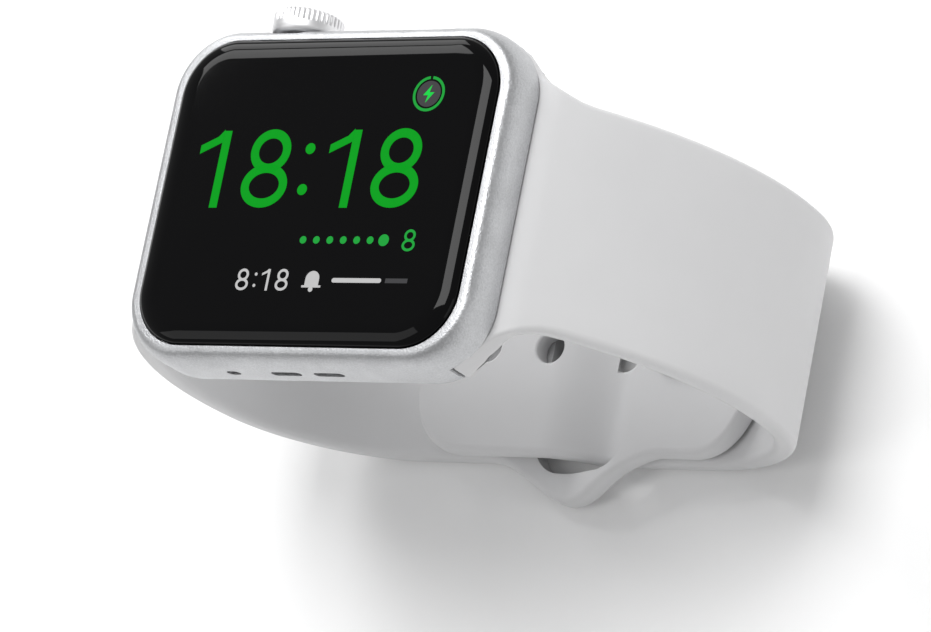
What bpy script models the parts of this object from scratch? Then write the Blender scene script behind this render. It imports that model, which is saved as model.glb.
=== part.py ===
"""Smartwatch with a two-piece elastomer strap, modelled closed.

Frame: the origin is the centre of the back crystal's outer face. +Z is the way the display
faces, +X is the crown side (3 o'clock) and +Y is 12 o'clock. Lengths are in metres.
The closed strap makes a loop under the case and stands on its flat bottom run.
"""
import math

import bmesh
import bpy
from mathutils import Vector

MM = 0.001

# ---- Case -------------------------------------------------------------------------------
CASE_WIDTH = 36.0 * MM          # along X, without the crown
CASE_LENGTH = 42.5 * MM         # along Y
CASE_CORNER = 7.2 * MM
CASE_BASE = 1.35 * MM           # underside of the metal
CASE_RIM = 9.45 * MM            # upper lip round the glass
CASE_TOP_INSET = 1.35 * MM
CASE_TOP_ROUND = 3.0 * MM
CASE_BACK_INSET = 1.75 * MM
CASE_BACK_ROUND = 2.6 * MM
SIDE_WALL = 1.85 * MM
BACK_WALL = 0.9 * MM
CAVITY_CORNER = 5.0 * MM

# ---- Glass, display and gasket ----------------------------------------------------------
GLASS_WIDTH = 32.6 * MM
GLASS_LENGTH = 38.5 * MM
GLASS_CORNER = 5.9 * MM
GLASS_RISE = 1.0 * MM           # curved rim above the lip
GLASS_EDGE = 0.65 * MM          # straight rim below the lip
GLASS_ROLL = 2.3 * MM           # width of the curved rim
GASKET_THICK = 0.4 * MM
GASKET_WIDTH = 0.9 * MM
DISPLAY_WIDTH = 26.0 * MM
DISPLAY_LENGTH = 31.5 * MM
DISPLAY_THICK = 0.7 * MM

# ---- Back -------------------------------------------------------------------------------
CRYSTAL_RADIUS = 13.0 * MM
CRYSTAL_FLAT = 8.5 * MM         # flat centre of the domed crystal
CRYSTAL_THICK = 1.2 * MM
CRYSTAL_RIM = 0.75 * MM         # outer face of the crystal at its rim
BACK_RING = 1.35 * MM           # narrowest width of the cover round the crystal
BACK_COVER_THICK = 0.9 * MM
WINDOW_RADIUS = 2.1 * MM
WINDOW_PITCH = 7.4 * MM
WINDOW_THICK = 0.8 * MM

# ---- Crown and side button --------------------------------------------------------------
CONTROL_HEIGHT = 5.5 * MM
CROWN_OFFSET = 8.3 * MM
CROWN_RADIUS = 3.65 * MM
CROWN_THICK = 2.6 * MM
CROWN_RECESS = 0.75 * MM         # how far the crown sits into the case side
CROWN_TRAVEL = 0.35 * MM
SHAFT_RADIUS = 1.0 * MM
BUSH_WALL = 0.6 * MM
SHAFT_DEPTH = 3.6 * MM          # how far the shaft reaches inside the side wall
WHEEL_RIM = 0.95 * MM           # encoder wheel beyond the shaft
WHEEL_THICK = 0.8 * MM
PLATE_HALF = 1.5 * MM           # half side of the plate between the shaft and its switch
SWITCH_THICK = 0.8 * MM
CROWN_DISH = 1.1 * MM           # width of the crown's rim round its end disc
DISH_DEPTH = 0.5 * MM
BUTTON_OFFSET = -6.5 * MM
BUTTON_LENGTH = 11.2 * MM
BUTTON_WIDTH = 3.0 * MM
BUTTON_PROUD = 0.45 * MM
BUTTON_TRAVEL = 0.3 * MM
BUTTON_THICK = 1.1 * MM
STEM_HALF_LENGTH = 1.5 * MM
STEM_HALF_WIDTH = 0.6 * MM
STEM_DEPTH = 0.9 * MM           # how far the stem reaches inside the side wall
BRACKET_HALF = 3.6 * MM
BRACKET_RISE = 1.9 * MM
BRACKET_SCREW = 0.35 * MM       # radius of the screw's thread
BRACKET_SCREW_HEAD = 0.75 * MM
BRACKET_SCREW_INSET = 0.9 * MM  # from the bracket's side to the screw

# ---- Strap slots in the case and the strap's lugs ---------------------------------------
SLOT_HEIGHT = 3.8 * MM          # height of the slot's middle
SLOT_DEPTH = 4.0 * MM
SLOT_MOUTH_DEPTH = 2.0 * MM
HEAD_THICK = 2.8 * MM
NECK_THICK = 2.3 * MM
LUG_REACH = 17.0 * MM           # half width of the lug at the slot's floor
FLARE_RUN = 3.85 * MM           # how far outside the case the lug draws in to the strap
FLARE_CURVE = 1.6               # 1 draws in along a straight line, 2 along a parabola
RELEASE_LENGTH = 7.0 * MM
RELEASE_WIDTH = 1.9 * MM
RELEASE_TRAVEL = 0.4 * MM
LATCH_RADIUS = 0.9 * MM

# ---- Strap ------------------------------------------------------------------------------
STRAP_THICK = 2.4 * MM
STRAP_HALF = 11.9 * MM          # half width below the lugs
STRAP_END_HALF = 11.9 * MM      # half width at the closure
STRAP_EDGE = 0.85 * MM          # rounding of the long edges
SHOULDER_RADIUS = 2.6 * MM
SHOULDER_TURN = 45.0
SIDE_RADIUS = 38.8 * MM
SIDE_TURN = 52.5
CORNER_RADIUS = 16.051 * MM
CROSS_START = -7.0 * MM         # where the tail starts to rise through the slot
CROSS_RUN = 8.0 * MM
TAIL_END = 17.5 * MM
RING_HALF = 16.6 * MM
RING_MIDDLE = -2.6 * MM
RING_SPREAD = 11.5 * MM         # distance over which the ring widens
TUCK_SLOT_START = -9.6 * MM
TUCK_SLOT_EASE = 1.4 * MM       # room each side of the tail in the tuck slot
TUCK_SLOT_PAST = 2.0 * MM       # how far the slot runs on past the tail's rise
RING_DROP_START = 0.4 * MM      # from the slot's end to where the ring starts to drop
TAB_CURL = 28.0                 # how far the end tab follows the loop's corner
TAB_HALF = 11.6 * MM
STUD_PLACE = -14.2 * MM
HOLE_PITCH = 8.0 * MM
HOLE_RADIUS = 1.7 * MM
HOLE_COUNT = 4
TUCK_SLOT_CORNER = 3.5 * MM
TAIL_TIP = 0.45                 # width of the tail's tip, as a share of the tail's
POCKET_RISE = 0.9 * MM          # latch pocket above the slot's middle
STUD_RADIUS = 1.3 * MM
STUD_HEAD = 2.6 * MM
STUD_HEAD_THICK = 0.8 * MM
WASHER_RADIUS = 2.7 * MM

# ---- Internals --------------------------------------------------------------------------
BATTERY_SIZE = (15.0 * MM, 21.0 * MM, 3.5 * MM)
HAPTIC_SIZE = (5.8 * MM, 20.0 * MM, 3.6 * MM)
HAPTIC_TRAVEL = 0.5 * MM
BOARD_SIZE = (21.4 * MM, 7.6 * MM, 2.6 * MM)
SPEAKER_SIZE = (2.8 * MM, 11.0 * MM, 3.2 * MM)
SPEAKER_PORT = 3.6 * MM         # length of each speaker slot
SPEAKER_PORT_PITCH = 5.2 * MM
PORT_WIDTH = 1.1 * MM
SPEAKER_MIDDLE = -0.5 * MM
MIC_PLACE = 8.6 * MM
MIC_PORT = 1.6 * MM
FLEX_WIDTH = 4.0 * MM           # half width of the display's flex
FLEX_INSET = 1.6 * MM           # from the display's edge to its flex
BOARD_MARGIN = 2.0 * MM         # from the case's inner end to the main module
SHEET = 0.3 * MM                # brackets, flexes and other sheet pieces

# ---- Clearances -------------------------------------------------------------------------
GAP = 0.3 * MM                  # between pieces that rest on or pass each other
GLASS_GAP = 0.15 * MM
STOP_GAP = 0.1 * MM             # left when a button is fully pressed

# ---- Derived places ---------------------------------------------------------------------
CASE_X = CASE_WIDTH / 2
CASE_Y = CASE_LENGTH / 2
INNER_X = CASE_X - SIDE_WALL
CAVITY_FLOOR = CASE_BASE + BACK_WALL
SLOT_FLOOR = CASE_Y - SLOT_DEPTH
INNER_Y = SLOT_FLOOR - BACK_WALL
GLASS_BASE = CASE_RIM - GLASS_EDGE
POCKET_FLOOR = GLASS_BASE - 2 * GAP - GASKET_THICK
STACK_FLOOR = CRYSTAL_THICK + GAP      # first level inside the back crystal
CELL_FLOOR = 3.4 * MM                  # underside of the battery and its neighbours
LUG_START = SLOT_FLOOR + GAP
LUG_NECK = CASE_Y - SLOT_MOUTH_DEPTH + GAP
STRAP_EXIT = CASE_Y - GAP
HALF_TURN = 180.0
SHOULDER_STEPS = 6
SIDE_STEPS = 9
CORNER_STEPS = 10
BASE_STEPS = 26
HEAD_STATIONS = 2               # sections of a strap inside the slot's wide part
NECK_STATIONS = 5               # and up to the case's outside
LUG_STATIONS = NECK_STATIONS + SHOULDER_STEPS


# ---- Materials --------------------------------------------------------------------------
def material(name, colour, roughness, metallic=0.0, alpha=1.0):
    mat = bpy.data.materials.get(name)
    if mat:
        return mat
    mat = bpy.data.materials.new(name)
    mat.use_nodes = True
    shader = mat.node_tree.nodes["Principled BSDF"]
    shader.inputs["Base Color"].default_value = (*colour, 1.0)
    shader.inputs["Roughness"].default_value = roughness
    shader.inputs["Metallic"].default_value = metallic
    shader.inputs["Alpha"].default_value = alpha
    return mat


FINISHES = {
    "case_aluminium": ((0.62, 0.62, 0.63), 0.38, 1.0),
    "dark_glass": ((0.010, 0.010, 0.011), 0.05, 0.0),
    "display_black": ((0.020, 0.020, 0.022), 0.25, 0.0),
    "strap_elastomer": ((0.70, 0.70, 0.70), 0.6, 0.0),
    "seal_rubber": ((0.03, 0.03, 0.03), 0.8, 0.0),
    "crystal": ((0.35, 0.35, 0.36), 0.12, 0.0),
    "back_plastic": ((0.30, 0.30, 0.31), 0.4, 0.0),
    "sensor_glass": ((0.015, 0.015, 0.02), 0.05, 0.0),
    "copper": ((0.60, 0.28, 0.13), 0.35, 1.0),
    "ferrite": ((0.06, 0.06, 0.065), 0.7, 0.0),
    "magnet": ((0.45, 0.45, 0.46), 0.25, 1.0),
    "steel": ((0.55, 0.55, 0.56), 0.3, 1.0),
    "circuit_board": ((0.02, 0.07, 0.04), 0.5, 0.0),
    "flex_film": ((0.55, 0.28, 0.05), 0.4, 0.0),
    "battery_foil": ((0.10, 0.10, 0.11), 0.45, 0.0),
    "moulding": ((0.05, 0.05, 0.05), 0.5, 0.0),
}


# ---- Mesh helpers -----------------------------------------------------------------------
def clear_scene():
    for obj in list(bpy.data.objects):
        bpy.data.objects.remove(obj, do_unlink=True)


def add_object(name, bm, finish=None, parent=None):
    bmesh.ops.recalc_face_normals(bm, faces=bm.faces[:])
    mesh = bpy.data.meshes.new(name)
    bm.to_mesh(mesh)
    bm.free()
    mesh.shade_smooth()
    mesh.set_sharp_from_angle(angle=math.radians(35))
    obj = bpy.data.objects.new(name, mesh)
    bpy.context.scene.collection.objects.link(obj)
    if finish:
        mesh.materials.append(material(finish, *FINISHES[finish]))
    if parent:
        mesh.transform(parent.matrix_world.inverted())
        obj.parent = parent
    return obj


def loft(rings, closed=False):
    """Skin rings of points in order, and cap both ends or join the last to the first."""
    bm = bmesh.new()
    loops = [[bm.verts.new(point) for point in ring] for ring in rings]
    pairs = list(zip(loops, loops[1:]))
    if closed:
        pairs.append((loops[-1], loops[0]))
    for low, high in pairs:
        for index in range(len(low)):
            bm.faces.new((low[index - 1], low[index], high[index], high[index - 1]))
    if not closed:
        bm.faces.new(loops[0])
        bm.faces.new(loops[-1])
    return bm


def outline(half_x, half_y, radius, z, steps=7, centre=(0.0, 0.0)):
    """Rounded rectangle at height z, anticlockwise."""
    points = []
    for corner in range(4):
        sign_x = 1 if corner in (0, 3) else -1
        sign_y = 1 if corner in (0, 1) else -1
        for step in range(steps + 1):
            angle = math.radians(90 * (corner + step / steps))
            points.append(Vector((
                centre[0] + sign_x * (half_x - radius) + radius * math.cos(angle),
                centre[1] + sign_y * (half_y - radius) + radius * math.sin(angle),
                z)))
    return points


def slab(half_x, half_y, radius, z_low, z_high, centre=(0.0, 0.0), steps=7):
    return loft([outline(half_x, half_y, radius, z, steps, centre) for z in (z_low, z_high)])


def band_ring(half_x, half_y, radius, width, z_low, z_high):
    """Flat rounded frame, width wide, with its outside on the given outline."""
    inner = (half_x - width, half_y - width, radius - width)
    return loft([
        outline(half_x, half_y, radius, z_low),
        outline(half_x, half_y, radius, z_high),
        outline(*inner, z_high),
        outline(*inner, z_low)], closed=True)


def circle(radius, along, centre, axis, sides):
    """Circle of points round an axis, X or Z, at a place along it."""
    points = []
    for side in range(sides):
        angle = 2 * math.pi * side / sides
        across = radius * math.cos(angle)
        up = radius * math.sin(angle)
        if axis == "X":
            points.append(Vector((along, centre[0] + across, centre[1] + up)))
        else:
            points.append(Vector((centre[0] + across, centre[1] + up, along)))
    return points


def turned(profile, centre, axis="Z", sides=32, closed=False):
    """Solid of revolution from (radius, place along the axis) pairs."""
    return loft([circle(r, along, centre, axis, sides) for r, along in profile], closed)


def block(x_low, x_high, y_low, y_high, z_low, z_high):
    bm = bmesh.new()
    bmesh.ops.create_cube(bm, size=1.0)
    size = Vector((x_high - x_low, y_high - y_low, z_high - z_low))
    middle = Vector((x_high + x_low, y_high + y_low, z_high + z_low)) / 2
    bmesh.ops.scale(bm, vec=size, verts=bm.verts)
    bmesh.ops.translate(bm, vec=middle, verts=bm.verts)
    return bm


def side_pill(length, height, x_low, x_high, y, z, steps=6):
    """Pill-shaped solid whose outline lies in the YZ plane."""
    rings = []
    for x in (x_low, x_high):
        flat = outline(length / 2, height / 2, height / 2 * 0.999, 0.0, steps, (y, z))
        rings.append([Vector((x, point.x, point.y)) for point in flat])
    return loft(rings)


def cut(obj, cutters, operation="DIFFERENCE"):
    for index, bm in enumerate(cutters):
        cutter = add_object(f"cutter_{obj.name}_{index}", bm)
        cutter.hide_render = True
        cutter.display_type = "WIRE"
        modifier = obj.modifiers.new(f"cut_{index}", "BOOLEAN")
        modifier.operation = operation
        modifier.solver = "EXACT"
        modifier.object = cutter


# ---- Case -------------------------------------------------------------------------------
def case_section(steps=5):
    """(inset, height) pairs up the outside of the case wall."""
    points = []
    for step in range(steps + 1):
        angle = math.pi / 2 * step / steps
        points.append((CASE_BACK_INSET * (1 - math.sin(angle)),
                       CASE_BASE + CASE_BACK_ROUND * (1 - math.cos(angle))))
    for step in range(steps + 1):
        angle = math.pi / 2 * step / steps
        points.append((CASE_TOP_INSET * (1 - math.cos(angle)),
                       CASE_RIM - CASE_TOP_ROUND * (1 - math.sin(angle))))
    return points


def slot_cutters(side):
    """Undercut strap slot across one end of the case."""
    reach = CASE_X + GAP
    head = HEAD_THICK / 2 + GAP
    neck = NECK_THICK / 2 + GAP
    mouth = CASE_Y - SLOT_MOUTH_DEPTH
    outer = CASE_Y + 2 * GAP
    spans = ((SLOT_FLOOR, mouth, head), (mouth - GAP, outer, neck))
    cutters = []
    for near, far, half in spans:
        low, high = sorted((side * near, side * far))
        cutters.append(block(-reach, reach, low, high, SLOT_HEIGHT - half, SLOT_HEIGHT + half))
    return cutters


def release_place(side):
    return side * (SLOT_FLOOR + GAP + RELEASE_WIDTH / 2)


def case_housing():
    shape = loft([outline(CASE_X - inset, CASE_Y - inset, CASE_CORNER - inset, z, 9)
                  for inset, z in case_section()])
    housing = add_object("case_housing", shape, "case_aluminium")
    cover = cover_half_sizes()
    bore = SHAFT_RADIUS + BUSH_WALL + 2 * GAP
    past = CASE_X + GAP
    cutters = [
        slab(INNER_X, INNER_Y, CAVITY_CORNER, CAVITY_FLOOR, CASE_RIM + GAP),
        slab(GLASS_WIDTH / 2 + GLASS_GAP, GLASS_LENGTH / 2 + GLASS_GAP,
             GLASS_CORNER + GLASS_GAP, POCKET_FLOOR, CASE_RIM + GAP),
        slab(cover[0] + GAP, cover[1] + GAP, CAVITY_CORNER + GAP, 0.0, CAVITY_FLOOR + GAP),
        turned([(bore, INNER_X - GAP), (bore, crown_floor()),
                (CROWN_RADIUS + GAP, crown_floor()), (CROWN_RADIUS + GAP, past)],
               (CROWN_OFFSET, CONTROL_HEIGHT), "X", 48),
        side_pill(BUTTON_LENGTH + 2 * GAP, BUTTON_WIDTH + 2 * GAP, button_floor(), past,
                  BUTTON_OFFSET, CONTROL_HEIGHT),
        block(INNER_X - GAP, past, *button_stem_span(GAP)),
    ]
    for side in (-1, 1):
        cutters += slot_cutters(side)
        cutters.append(slab(
            RELEASE_LENGTH / 2 + GAP, RELEASE_WIDTH / 2 + GAP / 2,
            RELEASE_WIDTH / 2, 0.0, SLOT_HEIGHT, (0.0, release_place(side))))
    for y in speaker_slots():
        cutters.append(side_pill(SPEAKER_PORT, PORT_WIDTH, -past, -INNER_X + GAP, y,
                                 CONTROL_HEIGHT))
    cutters.append(side_pill(MIC_PORT, PORT_WIDTH, -past, -INNER_X + GAP, MIC_PLACE,
                             CONTROL_HEIGHT))
    cut(housing, cutters)


# ---- Glass and display ------------------------------------------------------------------
def cover_glass(steps=6):
    half_x = GLASS_WIDTH / 2
    half_y = GLASS_LENGTH / 2
    rings = [outline(half_x, half_y, GLASS_CORNER, GLASS_BASE, 9)]
    for step in range(steps + 1):
        angle = math.pi / 2 * step / steps
        inset = GLASS_ROLL * (1 - math.cos(angle))
        rise = GLASS_RISE * math.sin(angle)
        rings.append(outline(half_x - inset, half_y - inset, GLASS_CORNER - inset,
                             CASE_RIM + rise, 9))
    add_object("cover_glass", loft(rings), "dark_glass")


def display_parts():
    top = GLASS_BASE - GAP
    add_object("display_panel",
               slab(DISPLAY_WIDTH / 2, DISPLAY_LENGTH / 2, 2.0 * MM, top - DISPLAY_THICK, top),
               "display_black")
    half_x = GLASS_WIDTH / 2 - GAP
    half_y = GLASS_LENGTH / 2 - GAP
    add_object("force_gasket",
               band_ring(half_x, half_y, GLASS_CORNER - GAP, GASKET_WIDTH,
                         POCKET_FLOOR + GAP, POCKET_FLOOR + GAP + GASKET_THICK),
               "seal_rubber")
    board_top = CELL_FLOOR + BOARD_SIZE[2]
    flex_y = DISPLAY_LENGTH / 2 - FLEX_INSET
    add_object("display_flex",
               block(-FLEX_WIDTH, FLEX_WIDTH, flex_y, flex_y + SHEET, board_top + GAP,
                     top - DISPLAY_THICK - GAP),
               "flex_film")


# ---- Back -------------------------------------------------------------------------------
def cover_half_sizes():
    half_x = CRYSTAL_RADIUS + GAP + BACK_RING
    return half_x, half_x + 0.7 * MM


def window_places():
    half = WINDOW_PITCH / 2
    return [(half, 0.0), (0.0, half), (-half, 0.0), (0.0, -half)]


def back_parts():
    dome = 5
    profile = [(CRYSTAL_RADIUS, CRYSTAL_THICK)]
    for step in range(dome + 1):
        share = step / dome
        radius = CRYSTAL_RADIUS + (CRYSTAL_FLAT - CRYSTAL_RADIUS) * share
        profile.append((radius, CRYSTAL_RIM * (1 - share) ** 2))
    crystal = add_object("back_crystal", turned(profile, (0.0, 0.0), sides=48), "crystal")
    cut(crystal, [turned([(WINDOW_RADIUS + GAP, -GAP), (WINDOW_RADIUS + GAP, 2 * STACK_FLOOR)],
                         place, sides=20) for place in window_places()])
    for index, place in enumerate(window_places()):
        low = CRYSTAL_THICK - WINDOW_THICK
        add_object(f"sensor_window_{index + 1}",
                   turned([(WINDOW_RADIUS, low), (WINDOW_RADIUS, CRYSTAL_THICK)], place, sides=20),
                   "sensor_glass")
    half_x, half_y = cover_half_sizes()
    cover = add_object("back_cover",
                       slab(half_x, half_y, CAVITY_CORNER, CRYSTAL_RIM,
                            CRYSTAL_RIM + BACK_COVER_THICK), "back_plastic")
    opening = CRYSTAL_RADIUS + GAP
    cut(cover, [turned([(opening, 0.0), (opening, CAVITY_FLOOR + GAP)], (0.0, 0.0), sides=48)])
    add_object("back_seal",
               band_ring(INNER_X - GAP, INNER_Y - GAP, CAVITY_CORNER - GAP, 0.8 * MM,
                         CAVITY_FLOOR + GAP, CAVITY_FLOOR + 2 * GAP),
               "seal_rubber")


def charging_stack():
    board = WINDOW_PITCH / 2 + WINDOW_RADIUS + 0.5 * MM
    coil_in = board + GAP
    coil_out = CRYSTAL_RADIUS - GAP
    centre = (0.0, 0.0)
    thick = 0.5 * MM
    add_object("sensor_board", turned([(board, STACK_FLOOR), (board, STACK_FLOOR + thick)],
                                      centre, sides=32), "circuit_board")
    annulus(
        "charging_coil", coil_in, coil_out, STACK_FLOOR, STACK_FLOOR + thick, "copper")
    shield = STACK_FLOOR + thick + GAP
    magnet = WINDOW_PITCH / 2 + 0.8 * MM
    annulus("ferrite_shield", magnet + GAP, coil_out, shield, shield + thick, "ferrite")
    add_object("alignment_magnet", turned([(magnet, shield), (magnet, shield + thick)],
                                          centre, sides=24), "magnet")


def annulus(name, inner, outer, low, high, finish, centre=(0.0, 0.0), axis="Z", sides=32,
            parent=None):
    profile = [(inner, low), (outer, low), (outer, high), (inner, high)]
    add_object(name, turned(profile, centre, axis, sides, closed=True), finish, parent)


# ---- Crown ------------------------------------------------------------------------------
def crown_floor():
    return CASE_X - CROWN_RECESS


def crown_places():
    """Places along X of the crown's pieces, outermost first."""
    cap_in = crown_floor() + CROWN_TRAVEL + STOP_GAP
    shaft_in = INNER_X - SHAFT_DEPTH
    plate_in = shaft_in - GAP - SHEET
    switch_out = plate_in - CROWN_TRAVEL - STOP_GAP
    return cap_in, shaft_in, plate_in, switch_out


def crown_cap(parent):
    cap_in = crown_places()[0]
    cap_out = cap_in + CROWN_THICK
    bevel = 0.35 * MM
    recess_radius = CROWN_RADIUS - CROWN_DISH
    profile = [
        (SHAFT_RADIUS + 0.6 * MM, cap_in),
        (CROWN_RADIUS - 2 * bevel, cap_in),
        (CROWN_RADIUS - 0.4 * bevel, cap_in + bevel),
        (CROWN_RADIUS, cap_in + 2.5 * bevel),
        (CROWN_RADIUS, cap_out - bevel),
        (CROWN_RADIUS - bevel, cap_out),
        (recess_radius, cap_out),
        (recess_radius, cap_out - DISH_DEPTH)]
    centre = (CROWN_OFFSET, CONTROL_HEIGHT)
    add_object("crown_cap", turned(profile, centre, "X", 48), "case_aluminium", parent)
    disc = recess_radius - GAP
    add_object("crown_end_disc",
               turned([(disc, cap_out - 0.2 * MM), (disc, cap_out)], centre, "X", 32),
               "moulding", parent)


def crown_parts():
    press_axis = bpy.data.objects.new("crown_press_axis", None)
    bpy.context.scene.collection.objects.link(press_axis)
    press_axis.location = (CASE_X, CROWN_OFFSET, CONTROL_HEIGHT)
    bpy.context.view_layer.update()
    cap_in, shaft_in, plate_in, switch_out = crown_places()
    centre = (CROWN_OFFSET, CONTROL_HEIGHT)
    crown_cap(press_axis)
    add_object("crown_shaft",
               turned([(SHAFT_RADIUS, shaft_in), (SHAFT_RADIUS, cap_in - GAP)], centre, "X", 20),
               "steel", press_axis)
    wheel = shaft_in + 0.3 * MM
    annulus("crown_encoder_wheel", SHAFT_RADIUS + GAP, SHAFT_RADIUS + WHEEL_RIM, wheel,
            wheel + WHEEL_THICK, "steel", centre, "X", 24, press_axis)
    bush_in = SHAFT_RADIUS + GAP
    bush_out = bush_in + BUSH_WALL
    annulus("crown_bush", bush_in, bush_out, INNER_X - 0.6 * MM, crown_floor() - STOP_GAP,
            "steel", centre, "X", 24)
    annulus("crown_seal_ring", bush_in, bush_out, INNER_X - 0.6 * MM - GAP - 0.5 * MM,
            INNER_X - 0.6 * MM - GAP, "seal_rubber", centre, "X", 24)
    add_object("crown_shear_plate",
               block(plate_in, plate_in + SHEET, CROWN_OFFSET - PLATE_HALF,
                     CROWN_OFFSET + PLATE_HALF, CONTROL_HEIGHT - PLATE_HALF,
                     CONTROL_HEIGHT + PLATE_HALF), "steel", press_axis)
    switch_in = switch_out - SWITCH_THICK
    add_object("crown_switch",
               block(switch_in, switch_out, CROWN_OFFSET - 1.3 * MM, CROWN_OFFSET + 1.3 * MM,
                     CONTROL_HEIGHT - 1.1 * MM, CONTROL_HEIGHT + 1.1 * MM), "moulding")
    sensor_top = CONTROL_HEIGHT - SHAFT_RADIUS - WHEEL_RIM - GAP
    add_object("encoder_sensor",
               block(wheel - 0.3 * MM, wheel + 1.1 * MM, CROWN_OFFSET - 0.9 * MM,
                     CROWN_OFFSET + 0.9 * MM, sensor_top - 0.4 * MM, sensor_top), "moulding")
    bracket_out = switch_in - GAP
    add_bracket("crown_bracket", bracket_out, CROWN_OFFSET)


def add_bracket(name, x_high, y):
    """Upright sheet bracket that backs a switch, with two screws in its foot-side ears."""
    half = BRACKET_HALF
    low = CELL_FLOOR
    high = CONTROL_HEIGHT + BRACKET_RISE
    plate = add_object(name, block(x_high - SHEET, x_high, y - half, y + half, low, high),
                       "steel")
    screw = BRACKET_SCREW
    clear = 0.2 * MM
    hole = screw + clear
    cutters = []
    for sign, tag in ((-1, "a"), (1, "b")):
        place = (y + sign * (half - BRACKET_SCREW_INSET), CONTROL_HEIGHT)
        cutters.append(turned([(hole, x_high - 2 * SHEET), (hole, x_high + SHEET)], place, "X", 12))
        head = BRACKET_SCREW_HEAD
        seat = x_high + clear
        profile = [(screw, x_high - 3 * SHEET), (screw, seat), (head, seat),
                   (head, seat + 0.4 * MM)]
        add_object(f"{name}_screw_{tag}", turned(profile, place, "X", 12), "steel")
    cut(plate, cutters)


# ---- Side button ------------------------------------------------------------------------
def button_floor():
    return CASE_X + BUTTON_PROUD - BUTTON_THICK - BUTTON_TRAVEL - STOP_GAP


def button_stem_span(margin):
    """Y and Z limits of the button's stem, or of its passage with a margin."""
    return (BUTTON_OFFSET - STEM_HALF_LENGTH - margin, BUTTON_OFFSET + STEM_HALF_LENGTH + margin,
            CONTROL_HEIGHT - STEM_HALF_WIDTH - margin, CONTROL_HEIGHT + STEM_HALF_WIDTH + margin)


def side_button():
    axis = bpy.data.objects.new("side_button_axis", None)
    bpy.context.scene.collection.objects.link(axis)
    axis.location = (CASE_X, BUTTON_OFFSET, CONTROL_HEIGHT)
    bpy.context.view_layer.update()
    outer = CASE_X + BUTTON_PROUD
    inner = outer - BUTTON_THICK
    cap = add_object("side_button_cap",
                     side_pill(BUTTON_LENGTH, BUTTON_WIDTH, inner, outer, BUTTON_OFFSET,
                               CONTROL_HEIGHT, 8), "case_aluminium", axis)
    stem_in = INNER_X - STEM_DEPTH
    stem = block(stem_in, inner + GAP, *button_stem_span(0.0))
    cut(cap, [stem], "UNION")
    switch_out = stem_in - BUTTON_TRAVEL - STOP_GAP
    add_object("side_button_switch",
               block(switch_out - 0.9 * MM, switch_out, BUTTON_OFFSET - 1.7 * MM,
                     BUTTON_OFFSET + 1.7 * MM, CONTROL_HEIGHT - 1.1 * MM,
                     CONTROL_HEIGHT + 1.1 * MM), "moulding")
    add_bracket("side_button_bracket", switch_out - 0.9 * MM - GAP, BUTTON_OFFSET)


# ---- Internals --------------------------------------------------------------------------
def speaker_slots():
    return [SPEAKER_MIDDLE + sign * SPEAKER_PORT_PITCH / 2 for sign in (-1, 1)]


def speaker_parts():
    mesh_out = -INNER_X + GAP
    half = SPEAKER_SIZE[1] / 2
    add_object("speaker_mesh",
               block(mesh_out, mesh_out + SHEET, SPEAKER_MIDDLE - half, SPEAKER_MIDDLE + half,
                     CONTROL_HEIGHT - 1.1 * MM, CONTROL_HEIGHT + 1.1 * MM), "steel")
    low = mesh_out + SHEET + GAP
    add_object("speaker_module",
               block(low, low + SPEAKER_SIZE[0], SPEAKER_MIDDLE - half, SPEAKER_MIDDLE + half,
                     CELL_FLOOR, CELL_FLOOR + SPEAKER_SIZE[2]), "moulding")
    add_object("microphone",
               block(mesh_out, mesh_out + 1.2 * MM, MIC_PLACE - 1.3 * MM, MIC_PLACE + 1.3 * MM,
                     CONTROL_HEIGHT - 1.0 * MM, CONTROL_HEIGHT + 1.0 * MM), "moulding")


def power_and_board():
    left = -INNER_X + 2 * GAP + SHEET + SPEAKER_SIZE[0] + GAP
    right = left + BATTERY_SIZE[0]
    near = -INNER_Y + GAP
    far = near + BATTERY_SIZE[1]
    top = CELL_FLOOR + BATTERY_SIZE[2]
    cell = slab(BATTERY_SIZE[0] / 2, BATTERY_SIZE[1] / 2, 0.8 * MM, CELL_FLOOR, top,
                ((left + right) / 2, (near + far) / 2), 3)
    add_object("battery", cell, "battery_foil")
    board_far = INNER_Y - GAP - BOARD_MARGIN
    board_near = board_far - BOARD_SIZE[1]
    board_right = left + BOARD_SIZE[0]
    board = slab(BOARD_SIZE[0] / 2, BOARD_SIZE[1] / 2, 0.6 * MM, CELL_FLOOR,
                 CELL_FLOOR + BOARD_SIZE[2],
                 ((left + board_right) / 2, (board_near + board_far) / 2), 3)
    add_object("main_module", board, "circuit_board")
    add_object("battery_flex",
               block(left + 3.0 * MM, left + 6.0 * MM, far + GAP, board_near - GAP,
                     CELL_FLOOR + 1.0 * MM, CELL_FLOOR + 1.0 * MM + SHEET), "flex_film")
    haptic_parts(right + GAP, near)


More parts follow.
